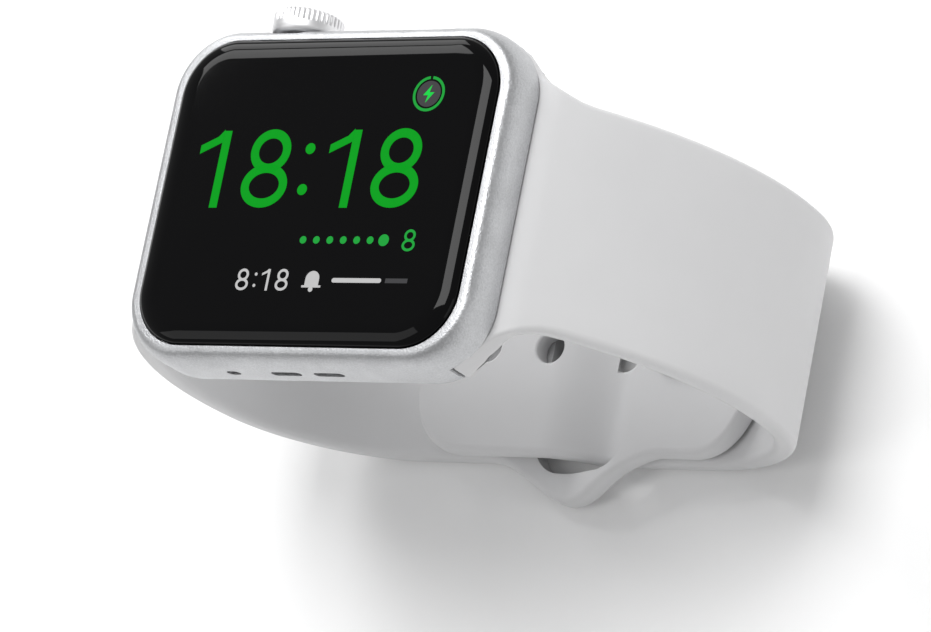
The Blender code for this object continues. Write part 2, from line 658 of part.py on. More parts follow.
def haptic_parts(left, near):
    width, length, height = HAPTIC_SIZE
    right = left + width
    far = near + length
    top = CELL_FLOOR + height
    wall = 0.4 * MM
    frame = add_object("haptic_frame", block(left, right, near, far, CELL_FLOOR, top), "steel")
    cut(frame, [block(left + wall, right - wall, near + wall, far - wall,
                      CELL_FLOOR + wall, top + GAP)])
    add_object("haptic_cover", block(left, right, near, far, top + GAP, top + GAP + 0.2 * MM),
               "steel")
    inside = wall + GAP
    coil_low = CELL_FLOOR + wall + GAP
    middle = ((left + right) / 2, (near + far) / 2)
    half_x = width / 2 - inside - 0.2 * MM
    half_y = length / 2 - 5.0 * MM
    coil = [outline(half_x, half_y, half_x * 0.9, coil_low, 6, middle),
            outline(half_x, half_y, half_x * 0.9, coil_low + 0.5 * MM, 6, middle),
            outline(half_x - 1.0 * MM, half_y - 1.0 * MM, half_x * 0.9 - 1.0 * MM,
                    coil_low + 0.5 * MM, 6, middle),
            outline(half_x - 1.0 * MM, half_y - 1.0 * MM, half_x * 0.9 - 1.0 * MM,
                    coil_low, 6, middle)]
    add_object("haptic_coil", loft(coil, closed=True), "copper")
    mass_low = coil_low + 0.5 * MM + GAP
    reach = length / 2 - wall - GAP - 1.6 * MM
    add_object("haptic_mass",
               slab(width / 2 - inside, reach, 0.4 * MM, mass_low, top - GAP, middle, 3),
               "magnet")
    for sign, tag in ((-1, "a"), (1, "b")):
        start = middle[1] + sign * (reach + HAPTIC_TRAVEL + 0.2 * MM)
        end = middle[1] + sign * (length / 2 - wall - 0.2 * MM)
        add_object(f"haptic_spring_{tag}", leaf_spring(
            left + inside, right - inside, start, end, mass_low, top - GAP), "steel")


def leaf_spring(x_low, x_high, y_start, y_end, z_low, z_high):
    """Thin strip bent into one arch between the mass and the frame."""
    steps = 8
    thick = 0.15 * MM * (1 if y_end > y_start else -1)
    rings = []
    for step in range(steps + 1):
        share = step / steps
        x = x_low + (x_high - x_low) * share
        y = y_start + (y_end - thick - y_start) * (1 - math.cos(2 * math.pi * share)) / 2
        rings.append([Vector((x, y, z_low)), Vector((x, y + thick, z_low)),
                      Vector((x, y + thick, z_high)), Vector((x, y, z_high))])
    return loft(rings)


# ---- Strap paths ------------------------------------------------------------------------
def loop_path(side):
    """Centre line in the YZ plane from a slot out, down and round to the flat bottom run."""
    points = [(LUG_START, SLOT_HEIGHT), (LUG_NECK - 2 * GAP, SLOT_HEIGHT),
              (LUG_NECK, SLOT_HEIGHT), (STRAP_EXIT - 2 * GAP, SLOT_HEIGHT)]
    y, z = STRAP_EXIT, SLOT_HEIGHT
    heading = 0.0
    turns = ((SHOULDER_RADIUS, SHOULDER_TURN, SHOULDER_STEPS),
             (SIDE_RADIUS, SIDE_TURN, SIDE_STEPS),
             (CORNER_RADIUS, HALF_TURN - SHOULDER_TURN - SIDE_TURN, CORNER_STEPS))
    for radius, turn, steps in turns:
        centre_y = y - radius * math.sin(heading)
        centre_z = z - radius * math.cos(heading)
        for step in range(steps + (radius == CORNER_RADIUS)):
            angle = heading + math.radians(turn) * step / steps
            points.append((centre_y + radius * math.sin(angle),
                           centre_z + radius * math.cos(angle)))
        heading += math.radians(turn)
        y = centre_y + radius * math.sin(heading)
        z = centre_z + radius * math.cos(heading)
    return [(side * y, z) for y, z in points]


def corner_end():
    """Where the loop's corner meets the bottom run: distance from the middle, and height."""
    return loop_path(1)[-1]


def ease(share):
    share = min(max(share, 0.0), 1.0)
    return share * share * (3 - 2 * share)


def layer_rise():
    return STRAP_THICK + GAP


def crossing_run(start, run, from_y, to_y, low, high, steps):
    """Points of a bottom run that passes from one layer to the other."""
    points = []
    for step in range(1, steps + 1):
        y = from_y + (to_y - from_y) * step / steps
        points.append((y, low + (high - low) * ease((y - start) / run)))
    return points


def strap_ring(y, z, along, half, thick, edge):
    """Rounded cross-section at one point of the path, across the travel direction."""
    normal = Vector((0.0, -along.z, along.y))
    points = []
    for point in outline(half, thick / 2, edge, 0.0, 3):
        points.append(Vector((point.x, y, z)) + normal * point.y)
    return points


def strap_loft(path, half_width, thickness):
    rings = []
    for index, (y, z) in enumerate(path):
        before = path[max(index - 1, 0)]
        after = path[min(index + 1, len(path) - 1)]
        along = Vector((0.0, after[0] - before[0], after[1] - before[1])).normalized()
        thick = thickness(index, y)
        edge = min(STRAP_EDGE, thick / 2 * 0.95)
        rings.append(strap_ring(y, z, along, half_width(index, y), thick, edge))
    return loft(rings)


def lug_width(y):
    """Half width at the case: it follows the case's corner, then draws in to the strap."""
    reach = abs(y)
    share = min((reach - LUG_START) / (STRAP_EXIT + FLARE_RUN - LUG_START), 1.0)
    return STRAP_HALF + (LUG_REACH - STRAP_HALF) * (1 - share) ** FLARE_CURVE


def upper_width(index, y, count):
    """Half width down the side of the loop."""
    if index < LUG_STATIONS:
        return lug_width(y)
    share = (index - LUG_STATIONS) / (count - LUG_STATIONS)
    flared = lug_width(y) if index < count - CORNER_STEPS else STRAP_HALF
    return flared + (STRAP_END_HALF - STRAP_HALF) * share


def lug_thickness(index, y):
    if index < HEAD_STATIONS:
        return HEAD_THICK
    if index < NECK_STATIONS:
        return NECK_THICK
    return STRAP_THICK


def lug_pocket(side):
    """Pocket in the lug for the latch, open towards the release button."""
    centre = (0.0, release_place(side))
    radius = LATCH_RADIUS + GAP
    return turned([(radius, SLOT_HEIGHT - HEAD_THICK), (radius, SLOT_HEIGHT + POCKET_RISE)],
                  centre, sides=16)


# ---- Strap ------------------------------------------------------------------------------
def holes_strap():
    """6 o'clock half: outside the end tab, then up through the tuck slot to the inside."""
    side_path = loop_path(-1)
    low = side_path[-1][1]
    high = low + layer_rise()
    path = side_path + crossing_run(CROSS_START, CROSS_RUN, side_path[-1][0],
                                    TAIL_END - STRAP_END_HALF / 2, low, high, BASE_STEPS)
    body = len(path)
    rounding = 5
    for step in range(1, rounding + 1):
        angle = math.pi / 2 * step / (rounding + 1)
        path.append((TAIL_END - STRAP_END_HALF / 2 * (1 - math.sin(angle)), high))

    def half_width(index, y):
        if index < len(side_path):
            return upper_width(index, y, len(side_path))
        if index < body:
            return STRAP_END_HALF
        share = (y - (TAIL_END - STRAP_END_HALF / 2)) / (STRAP_END_HALF / 2)
        return STRAP_END_HALF * (TAIL_TIP + (1 - TAIL_TIP) * math.sqrt(1 - share * share))

    strap = add_object("holes_strap", strap_loft(path, half_width, lug_thickness),
                       "strap_elastomer")
    cutters = [lug_pocket(-1), stud_recess(low)]
    for count in range(HOLE_COUNT):
        centre = (0.0, STUD_PLACE + HOLE_PITCH * count)
        cutters.append(turned([(HOLE_RADIUS, low - 2 * STRAP_THICK),
                               (HOLE_RADIUS, high + 2 * STRAP_THICK)], centre, sides=20))
    cut(strap, cutters)


def stud_recess(low):
    radius = STUD_HEAD + GAP
    under = low - STRAP_THICK / 2
    return turned([(radius, under - GAP), (radius, under + STUD_HEAD_THICK + 1.5 * GAP)],
                  (0.0, STUD_PLACE), sides=24)


def pin_strap():
    """12 o'clock half: a widened ring round the tuck slot, then the end tab on the inside."""
    side_path = loop_path(1)
    low = side_path[-1][1]
    high = low + layer_rise()
    start = side_path[-1][0]
    tab_start = -corner_end()[0]
    path = list(side_path)
    rise_start = TUCK_SLOT_START + RING_DROP_START
    for step in range(1, BASE_STEPS + 1):
        y = start + (tab_start - start) * step / BASE_STEPS
        path.append((y, high + (low - high) * ease((y - rise_start) / CROSS_RUN)))
    body = len(path)
    radius = CORNER_RADIUS - layer_rise()
    curl = 5
    for step in range(1, curl + 1):
        angle = math.radians(TAB_CURL) * step / curl
        path.append((tab_start - radius * math.sin(angle),
                     high + radius * (1 - math.cos(angle))))

    def half_width(index, y):
        if index < len(side_path):
            return upper_width(index, y, len(side_path))
        if index >= body:
            share = (index - body + 1) / (curl + 0.6)
            return TAB_HALF * math.sqrt(1 - share * share * 0.75)
        swell = 1 - ease(abs(y - RING_MIDDLE) / RING_SPREAD)
        base = TAB_HALF if y < RING_MIDDLE else STRAP_END_HALF
        return base + (RING_HALF - base) * swell

    strap = add_object("pin_strap", strap_loft(path, half_width, lug_thickness),
                       "strap_elastomer")
    shank = turned([(HOLE_RADIUS, low - 2 * STRAP_THICK), (HOLE_RADIUS, high + 2 * STRAP_THICK)],
                   (0.0, STUD_PLACE), sides=20)
    slot_half_y = (CROSS_START + CROSS_RUN + TUCK_SLOT_PAST - TUCK_SLOT_START) / 2
    slot = slab(STRAP_END_HALF + TUCK_SLOT_EASE, slot_half_y, TUCK_SLOT_CORNER, low - 2 * STRAP_THICK,
                high + 2 * STRAP_THICK, (0.0, TUCK_SLOT_START + slot_half_y), 4)
    cut(strap, [lug_pocket(1), slot, shank])


def closure_stud():
    low = corner_end()[1]
    high = low + layer_rise()
    head = low - STRAP_THICK / 2 + 0.1 * MM
    inside = high + STRAP_THICK / 2
    centre = (0.0, STUD_PLACE)
    edge = 0.25 * MM
    profile = [(STUD_HEAD - edge, head), (STUD_HEAD, head + edge),
               (STUD_HEAD, head + STUD_HEAD_THICK),
               (STUD_RADIUS, head + STUD_HEAD_THICK),
               (STUD_RADIUS, inside + GAP + 0.7 * MM)]
    add_object("closure_stud", turned(profile, centre, sides=24), "steel")
    annulus("stud_washer", STUD_RADIUS + GAP, WASHER_RADIUS, inside + GAP,
            inside + GAP + 0.6 * MM, "steel", centre, "Z", 24)


# ---- Band latches -----------------------------------------------------------------------
def release_and_latch(side, tag):
    y = release_place(side)
    low = CASE_BASE + 0.05 * MM
    top = SLOT_HEIGHT - HEAD_THICK / 2 - GAP - 0.1 * MM
    add_object(f"release_button_{tag}",
               slab(RELEASE_LENGTH / 2, RELEASE_WIDTH / 2 - GAP / 2,
                    (RELEASE_WIDTH - GAP) / 2 * 0.98, low, top, (0.0, y), 5), "case_aluminium")
    pin_low = top + RELEASE_TRAVEL + 0.15 * MM
    pin_high = SLOT_HEIGHT - 0.2 * MM
    add_object(f"latch_pin_{tag}",
               turned([(LATCH_RADIUS - 0.15 * MM, pin_low), (LATCH_RADIUS, pin_low + 0.15 * MM),
                       (LATCH_RADIUS, pin_high)], (0.0, y), sides=16), "steel")
    add_object(f"latch_spring_{tag}",
               coil_spring((0.0, y), LATCH_RADIUS - 0.2 * MM, pin_high + 0.1 * MM,
                           SLOT_HEIGHT + 0.8 * MM), "steel")


def coil_spring(centre, radius, low, high, turns=2.5, wire=0.11 * MM, sides=5):
    steps = int(turns * 10)
    round_wire = [2 * math.pi * side / sides for side in range(sides)]
    rings = []
    for step in range(steps + 1):
        angle = 2 * math.pi * turns * step / steps
        outward = Vector((math.cos(angle), math.sin(angle), 0.0))
        z = low + wire + (high - low - 2 * wire) * step / steps
        middle = Vector((centre[0], centre[1], z)) + outward * radius
        rings.append([middle + outward * wire * math.cos(turn)
                      + Vector((0, 0, wire)) * math.sin(turn) for turn in round_wire])
    return loft(rings)


def main():
    clear_scene()
    case_housing()
    cover_glass()
    display_parts()
    back_parts()
    charging_stack()
    crown_parts()
    side_button()
    speaker_parts()
    power_and_board()
    holes_strap()
    pin_strap()
    closure_stud()
    release_and_latch(1, "12")
    release_and_latch(-1, "6")


main()
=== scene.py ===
"""Looks of the smartwatch: fine shells, finishes, floor, lights and camera."""

import math

import bmesh
import bpy
from mathutils import Euler, Matrix, Vector


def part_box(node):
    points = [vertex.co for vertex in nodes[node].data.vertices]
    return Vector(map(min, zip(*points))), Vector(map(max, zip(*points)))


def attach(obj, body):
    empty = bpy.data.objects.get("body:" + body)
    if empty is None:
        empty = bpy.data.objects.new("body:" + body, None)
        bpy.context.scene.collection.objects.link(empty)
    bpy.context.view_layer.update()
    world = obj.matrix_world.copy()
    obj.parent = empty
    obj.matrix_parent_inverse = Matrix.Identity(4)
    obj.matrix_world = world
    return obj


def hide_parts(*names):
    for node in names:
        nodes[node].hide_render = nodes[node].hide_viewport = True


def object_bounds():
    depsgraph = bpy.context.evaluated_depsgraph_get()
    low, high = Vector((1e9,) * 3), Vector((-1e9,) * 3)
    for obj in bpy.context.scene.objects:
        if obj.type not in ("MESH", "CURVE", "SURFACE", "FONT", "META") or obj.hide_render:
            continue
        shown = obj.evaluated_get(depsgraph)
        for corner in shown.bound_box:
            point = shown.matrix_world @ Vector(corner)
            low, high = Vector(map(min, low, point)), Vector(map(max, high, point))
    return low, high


MM = 0.001
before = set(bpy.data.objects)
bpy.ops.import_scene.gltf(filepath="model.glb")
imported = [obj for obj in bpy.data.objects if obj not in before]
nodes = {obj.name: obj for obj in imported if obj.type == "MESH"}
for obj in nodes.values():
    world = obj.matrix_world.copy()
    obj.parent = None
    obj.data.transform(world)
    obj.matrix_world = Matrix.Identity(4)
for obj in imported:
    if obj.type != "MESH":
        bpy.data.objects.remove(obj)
cad_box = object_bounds()

# ---- Sizes shared with the frame ----------------------------------------------------------
CASE_CORNER = 7.2 * MM
CASE_TOP_INSET = 1.35 * MM
CASE_TOP_ROUND = 3.0 * MM
CASE_BACK_INSET = 1.75 * MM
CASE_BACK_ROUND = 2.6 * MM
SIDE_WALL = 1.85 * MM
BACK_WALL = 0.9 * MM
CAVITY_CORNER = 5.0 * MM
GLASS_CORNER = 5.9 * MM
GLASS_RISE = 1.0 * MM
GLASS_ROLL = 2.3 * MM
GLASS_GAP = 0.15 * MM
GAP = 0.3 * MM
CROWN_RECESS = 0.75 * MM
SLOT_HEIGHT = 3.8 * MM
SLOT_DEPTH = 4.0 * MM
SLOT_MOUTH_DEPTH = 2.0 * MM
HEAD_THICK = 2.8 * MM
NECK_THICK = 2.3 * MM
LUG_REACH = 17.0 * MM
FLARE_RUN = 3.85 * MM
FLARE_CURVE = 1.6
SLOT_FIT = 0.08 * MM            # play of the lug in its slot, each side
STRAP_THICK = 2.4 * MM
STRAP_HALF = 11.9 * MM
STRAP_END_HALF = 11.9 * MM
STRAP_EDGE = 0.85 * MM
SHOULDER_RADIUS = 2.6 * MM
SHOULDER_TURN = 45.0
SIDE_RADIUS = 38.8 * MM
SIDE_TURN = 52.5
CORNER_RADIUS = 16.051 * MM
HALF_TURN = 180.0
CROSS_START = -7.0 * MM
CROSS_RUN = 8.0 * MM
TAIL_END = 17.5 * MM
RING_HALF = 16.6 * MM
RING_MIDDLE = -2.6 * MM
RING_SPREAD = 11.5 * MM
RING_RISE_START = -9.2 * MM
TUCK_SLOT_START = -9.6 * MM
TUCK_SLOT_END = 3.0 * MM
TUCK_SLOT_EASE = 1.4 * MM
TUCK_SLOT_CORNER = 3.5 * MM
TAB_CURL = 28.0
TAB_HALF = 11.6 * MM
STUD_PLACE = -14.2 * MM
HOLE_PITCH = 8.0 * MM
HOLE_COUNT = 4
HOLE_RADIUS = 1.7 * MM
LATCH_RADIUS = 0.9 * MM
LATCH_POCKET = 0.9 * MM         # reach of the latch's pocket past the middle of the lug
LUG_EDGE = 0.45 * MM            # the lug's own edges, which fill the slot
LUG_ROUND_UNTIL = 8             # sections that keep the lug's edge
LUG_ROUND_RUN = 16              # sections over which it eases to the strap's own
STEM_HALF_LENGTH = 1.5 * MM
STEM_HALF_HEIGHT = 0.6 * MM
BUTTON_WELL = 1.05 * MM
BUTTON_CAP = 1.1 * MM
BUTTON_EDGE = 0.3 * MM
PORT_OFFSET = 2.6 * MM
PORT_LENGTH = 3.6 * MM
PORT_HEIGHT = 1.1 * MM
MICROPHONE_PORT = 1.6 * MM

# ---- Shares and steps of the meshes
SHARP = 32.0                    # degrees past which an edge stays crisp
SHARP_TURNED = 50.0             # the same for the glass and the crown
WELD = 0.0005 * MM
SPIN_WELD = 0.001 * MM
PILL_ROUND = 0.998              # share of the half height that a round end takes
WELL_ROUND = 0.99
BUTTON_ROUND = 0.98
GLOSS_SPREAD = 0.12             # drift of the roughness each way, as a share
CELL_PATCH = 0.5 * MM
CELL_DIM = 0.94                 # the weaker display cells against the stronger ones

case_low, case_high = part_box("case_housing")
CASE_X = case_high.x
CASE_Y = case_high.y
CASE_BASE = case_low.z
CASE_RIM = case_high.z
INNER_X = CASE_X - SIDE_WALL
SLOT_FLOOR = CASE_Y - SLOT_DEPTH
INNER_Y = SLOT_FLOOR - BACK_WALL
LUG_START = SLOT_FLOOR + GAP
LUG_NECK = CASE_Y - SLOT_MOUTH_DEPTH + GAP
STRAP_EXIT = CASE_Y - GAP


# ---- Materials --------------------------------------------------------------------------
def srgb(code):
    """Linear colour of an sRGB hex code."""
    values = [int(code[place:place + 2], 16) / 255 for place in (1, 3, 5)]
    linear = [v / 12.92 if v <= 0.04045 else ((v + 0.055) / 1.055) ** 2.4 for v in values]
    return (*linear, 1.0)


def add_node(mat, kind, sockets=None, **settings):
    """Add one node: settings are its properties, sockets its inputs, each a value or an output."""
    tree = mat.node_tree
    item = tree.nodes.new(kind)
    for name, value in settings.items():
        setattr(item, name, value)
    for name, value in (sockets or {}).items():
        if isinstance(value, bpy.types.NodeSocket):
            tree.links.new(value, item.inputs[name])
        else:
            item.inputs[name].default_value = value
    return item


def start_material(name, **constants):
    """A Principled material with its constant inputs set, and its shader and position output."""
    mat = bpy.data.materials.new(name)
    mat.use_nodes = True
    shader = mat.node_tree.nodes["Principled BSDF"]
    for key, value in constants.items():
        shader.inputs[key.replace("_", " ")].default_value = value
    place = add_node(mat, "ShaderNodeTexCoord").outputs["Object"]
    return mat, shader, place


def grained(name, light, dark, roughness, grain, depth, cloud=6.0 * MM, fleck=0.2,
            **constants):
    """Finish whose colour drifts slowly between two tones, with a fine grain in its surface.

    grain and cloud are the sizes of one grain and one patch, depth is the grain's height, and
    fleck is how much of the tone follows the grain instead of the patches."""
    mat, shader, place = start_material(name, **constants)
    patches = add_node(mat, "ShaderNodeTexNoise",
                       {"Vector": place, "Scale": 1 / cloud, "Detail": 3.0})
    specks = add_node(mat, "ShaderNodeTexNoise",
                      {"Vector": place, "Scale": 1 / grain, "Detail": 2.0})
    blend = add_node(mat, "ShaderNodeMix", {"Factor": fleck, "A": patches.outputs[0],
                                            "B": specks.outputs[0]})
    tone = add_node(mat, "ShaderNodeMix", {"Factor": blend.outputs[0]}, data_type="RGBA")
    tone.inputs[6].default_value = srgb(dark)
    tone.inputs[7].default_value = srgb(light)
    gloss = add_node(mat, "ShaderNodeMapRange",
                     {"Value": specks.outputs[0], "To Min": roughness * (1 - GLOSS_SPREAD),
                      "To Max": min(roughness * (1 + GLOSS_SPREAD), 1.0)})
    links = mat.node_tree.links
    if depth:
        bump = add_node(mat, "ShaderNodeBump", {"Height": specks.outputs[0],
                                                "Distance": depth, "Strength": 1.0})
        links.new(bump.outputs["Normal"], shader.inputs["Normal"])
    links.new(tone.outputs[2], shader.inputs["Base Color"])
    links.new(gloss.outputs["Result"], shader.inputs["Roughness"])
    return mat


def lit(name, colour, strength):
    """Lit part of the display: the colour glows and the surface itself stays dark."""
    mat, shader, place = start_material(name, Base_Color=srgb("#050505"), Roughness=0.5,
                                        Specular_IOR_Level=0.0, Emission_Strength=strength)
    cells = add_node(mat, "ShaderNodeTexNoise",
                     {"Vector": place, "Scale": 1 / CELL_PATCH, "Detail": 1.0})
    tone = add_node(mat, "ShaderNodeMix", {"Factor": cells.outputs[0]}, data_type="RGBA")
    base = srgb(colour)
    tone.inputs[6].default_value = tuple(value * CELL_DIM for value in base[:3]) + (1.0,)
    tone.inputs[7].default_value = base
    mat.node_tree.links.new(tone.outputs[2], shader.inputs["Emission Color"])
    return mat


def make_finishes():
    """Every finish of the watch, by name."""
    made = {}
    # Anodised aluminium, bead blasted: pale satin grey, with a grit of about 0.1 mm. The grit
    # is drawn at 0.2 mm so that it still shows.
    made["aluminium"] = grained("bead_blasted_aluminium", "#DADBDD", "#959698", 0.44,
                                0.2 * MM, 0.05 * MM, 3.0 * MM, 0.6, Metallic=1.0)
    # Anodised aluminium turned on a lathe: the same metal with a tighter, brighter surface.
    made["turned"] = grained("turned_aluminium", "#F2F2F3", "#DDDDDF", 0.45,
                             0.1 * MM, 0.002 * MM, Metallic=1.0)
    # Ion-exchanged glass over a black mask: nearly black and polished, with a weak mirror.
    made["glass"] = grained("black_masked_glass", "#060607", "#040405", 0.035, 1.0 * MM,
                            0.0, 12.0 * MM, IOR=1.5, Specular_IOR_Level=0.14)
    # Fluoroelastomer, compression moulded in a fine spark-eroded tool: pale grey and matte.
    made["strap"] = grained("moulded_fluoroelastomer", "#D7D7D8", "#D0D0D1", 0.58,
                            0.12 * MM, 0.003 * MM, 9.0 * MM, IOR=1.42,
                            Specular_IOR_Level=0.4, Sheen_Weight=0.08)
    # Silicone rubber, moulded: black and dull.
    made["rubber"] = grained("moulded_silicone_rubber", "#161616", "#0E0E0E", 0.75,
                             0.2 * MM, 0.004 * MM)
    # Glass-filled polymer, polished: the grey crystal that carries the sensor windows.
    made["crystal"] = grained("polished_composite_crystal", "#9FA0A3", "#96979A", 0.12,
                              0.5 * MM, 0.0, IOR=1.55, Coat_Weight=0.6, Coat_Roughness=0.05)
    # Glass-fibre polyamide, moulded: mid grey with a fine texture.
    made["plastic"] = grained("moulded_grey_polyamide", "#A2A3A6", "#98999C", 0.42,
                              0.15 * MM, 0.003 * MM, IOR=1.5)
    # Sapphire over a black mask: black and mirror smooth.
    made["sapphire"] = grained("black_masked_sapphire", "#0B0B10", "#060609", 0.04,
                               1.0 * MM, 0.0, IOR=1.76)
    # Enamelled copper wire, wound flat: orange brown with fine turns.
    made["copper"] = grained("enamelled_copper_wire", "#C98455", "#A8623A", 0.33,
                             0.12 * MM, 0.01 * MM, 1.0 * MM, Metallic=1.0)
    # Sintered ferrite: charcoal and dull.
    made["ferrite"] = grained("sintered_ferrite", "#444548", "#36373A", 0.7,
                              0.2 * MM, 0.006 * MM)
    # Nickel-plated magnet: bright, slightly warm.
    made["nickel"] = grained("nickel_plated_magnet", "#C8C5BE", "#BDBAB3", 0.22,
                             0.3 * MM, 0.001 * MM, Metallic=1.0)
    # Stainless steel, tumbled: cool grey with a soft shine.
    made["steel"] = grained("tumbled_stainless_steel", "#C6C8CA", "#B4B6B9", 0.28,
                            0.15 * MM, 0.003 * MM, Metallic=1.0)
    # Glass-epoxy board under solder mask: deep green.
    made["board"] = grained("solder_masked_glass_epoxy", "#1E5A3A", "#16452C", 0.4,
                            0.3 * MM, 0.008 * MM, 2.0 * MM)
    # Polyimide film over copper: amber.
    made["film"] = grained("polyimide_film", "#C98A2E", "#B57A26", 0.35, 0.4 * MM,
                           0.002 * MM)
    # Aluminium laminate pouch: dark foil.
    made["foil"] = grained("aluminium_laminate_foil", "#5B5C60", "#4C4D51", 0.42,
                           0.4 * MM, 0.01 * MM, Metallic=0.6)
    # Liquid-crystal polymer, moulded: black with a fine texture.
    made["moulding"] = grained("moulded_black_polymer", "#1D1D1F", "#141416", 0.5,
                               0.15 * MM, 0.004 * MM)
    # Display cells behind the glass: the green of the time, and the green and grey of the rest.
    made["green"] = lit("green_display_cells", "#12A425", 1.0)
    made["soft_green"] = lit("soft_green_display_cells", "#27A842", 1.0)
    made["vivid_green"] = lit("vivid_green_display_cells", "#25DC50", 1.0)
    made["grey"] = lit("grey_display_cells", "#C8C8C8", 1.0)
    made["dim"] = lit("dim_display_cells", "#4A4A4C", 1.0)
    return made


finish = make_finishes()

CAD_FINISHES = {
    "aluminium": ("release_button_12", "release_button_6"),
    "moulding": ("display_panel", "crown_switch", "encoder_sensor", "microphone",
                 "side_button_switch", "speaker_module"),
    "rubber": ("back_seal", "crown_seal_ring", "force_gasket"),
    "copper": ("charging_coil", "haptic_coil"),
    "ferrite": ("ferrite_shield",),
    "nickel": ("alignment_magnet", "haptic_mass"),
    "board": ("main_module", "sensor_board"),
    "film": ("battery_flex", "display_flex"),
    "foil": ("battery",),
    "sapphire": ("sensor_window_1", "sensor_window_2", "sensor_window_3", "sensor_window_4"),
}


def finish_cad_nodes():
    """Give every kept node its own finish; the ones not named are small steel pieces."""
    named = {node: key for key, group in CAD_FINISHES.items() for node in group}
    for name, obj in nodes.items():
        obj.data.materials.clear()
        obj.data.materials.append(finish[named.get(name, "steel")])


# ---- Mesh helpers -----------------------------------------------------------------------
def finish_piece(name, bm, look, body, replaced=(), sharp=SHARP):
    """Make the object, shade it, and tie it to its body and the node it stands for."""
    bmesh.ops.remove_doubles(bm, verts=bm.verts, dist=WELD)
    bmesh.ops.recalc_face_normals(bm, faces=bm.faces)
    mesh = bpy.data.meshes.new(name)
    bm.to_mesh(mesh)
    bm.free()
    mesh.shade_smooth()
    mesh.set_sharp_from_angle(angle=math.radians(sharp))
    mesh.materials.append(finish[look])
    obj = bpy.data.objects.new(name, mesh)
    bpy.context.scene.collection.objects.link(obj)
    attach(obj, body)
    if replaced:
        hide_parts(*replaced)
    return obj


def plate(half_x, half_y, corner, low, high, centre=(0.0, 0.0), segments=20):
    """Rounded plate: a cube with its upright edges bevelled."""
    bm = bmesh.new()
    bmesh.ops.create_cube(bm, size=1.0)
    bmesh.ops.scale(bm, vec=(2 * half_x, 2 * half_y, high - low), verts=bm.verts)
    bmesh.ops.translate(bm, vec=(*centre, (low + high) / 2), verts=bm.verts)
    upright = [edge for edge in bm.edges
               if abs(edge.verts[0].co.z - edge.verts[1].co.z) > (high - low) / 2]
    bmesh.ops.bevel(bm, geom=upright, offset=corner, offset_type="OFFSET", affect="EDGES",
                    segments=segments, profile=0.5, material=-1)
    return bm


def end_face(bm, side):
    """The flat face at the top (side 1) or the bottom (side -1)."""
    return max(bm.faces, key=lambda face: side * face.calc_center_median().z
               + face.calc_area() * 0.001)


def round_end(bm, side, inset, rise, steps):
    """Round the plate's end by insetting its flat face along a quarter of an ellipse."""
    before = (0.0, 0.0)
    for step in range(1, steps + 1):
        angle = math.pi / 2 * step / steps
        here = (inset * (1 - math.cos(angle)), rise * math.sin(angle))
        face = end_face(bm, side)
        bmesh.ops.inset_region(bm, faces=[face], thickness=here[0] - before[0],
                               depth=here[1] - before[1], use_even_offset=True)
        before = here


def spun(profile, centre, axis, sides=96):
    """Solid of revolution about X or Z from (radius, place along the axis) pairs."""
    bm = bmesh.new()
    direction = Vector((1, 0, 0)) if axis == "X" else Vector((0, 0, 1))
    outward = Vector((0, 1, 0)) if axis == "X" else Vector((1, 0, 0))
    origin = Vector((0, *centre)) if axis == "X" else Vector((*centre, 0))
    points = [bm.verts.new(origin + outward * radius + direction * along)
              for radius, along in profile]
    edges = [bm.edges.new(pair) for pair in zip(points, points[1:])]
    bmesh.ops.spin(bm, geom=points + edges, cent=origin, axis=direction,
                   angle=2 * math.pi, steps=sides, use_merge=True)
    bmesh.ops.remove_doubles(bm, verts=bm.verts, dist=SPIN_WELD)
    open_rims = [edge for edge in bm.edges if edge.is_boundary]
    if open_rims:
        bmesh.ops.holes_fill(bm, edges=open_rims, sides=0)
    return bm


def arc(radius, start, end, middle, steps):
    """(radius, place) pairs along an arc from angle start to end, in degrees."""
    points = []
    for step in range(steps + 1):
        angle = math.radians(start + (end - start) * step / steps)
        points.append((middle[0] + radius * math.cos(angle),
                       middle[1] + radius * math.sin(angle)))
    return points


def pill(length, height, edge, x_low, x_high, y, z):
    """Pill with its long side along Y and its flat end at x_high rounded by edge."""
    bm = plate(length / 2, height / 2, height / 2 * PILL_ROUND, 0.0, x_high - x_low)
    if edge:
        half = 0.5 * (x_high - x_low)
        rim = [item for item in bm.edges
               if item.verts[0].co.z > half and item.verts[1].co.z > half]
        bmesh.ops.bevel(bm, geom=rim, offset=edge, offset_type="OFFSET", affect="EDGES",
                        segments=5, profile=0.5, material=-1)
    turn = Matrix(((0, 0, 1, x_low), (1, 0, 0, y), (0, 1, 0, z), (0, 0, 0, 1)))
    bmesh.ops.transform(bm, matrix=turn, verts=bm.verts)
    return bm


def block(low, high):
    """Plain box between two corners."""
    bm = bmesh.new()
    bmesh.ops.create_cube(bm, size=1.0)
    size = Vector(high) - Vector(low)
    bmesh.ops.scale(bm, vec=size, verts=bm.verts)
    bmesh.ops.translate(bm, vec=(Vector(low) + Vector(high)) / 2, verts=bm.verts)
    return bm


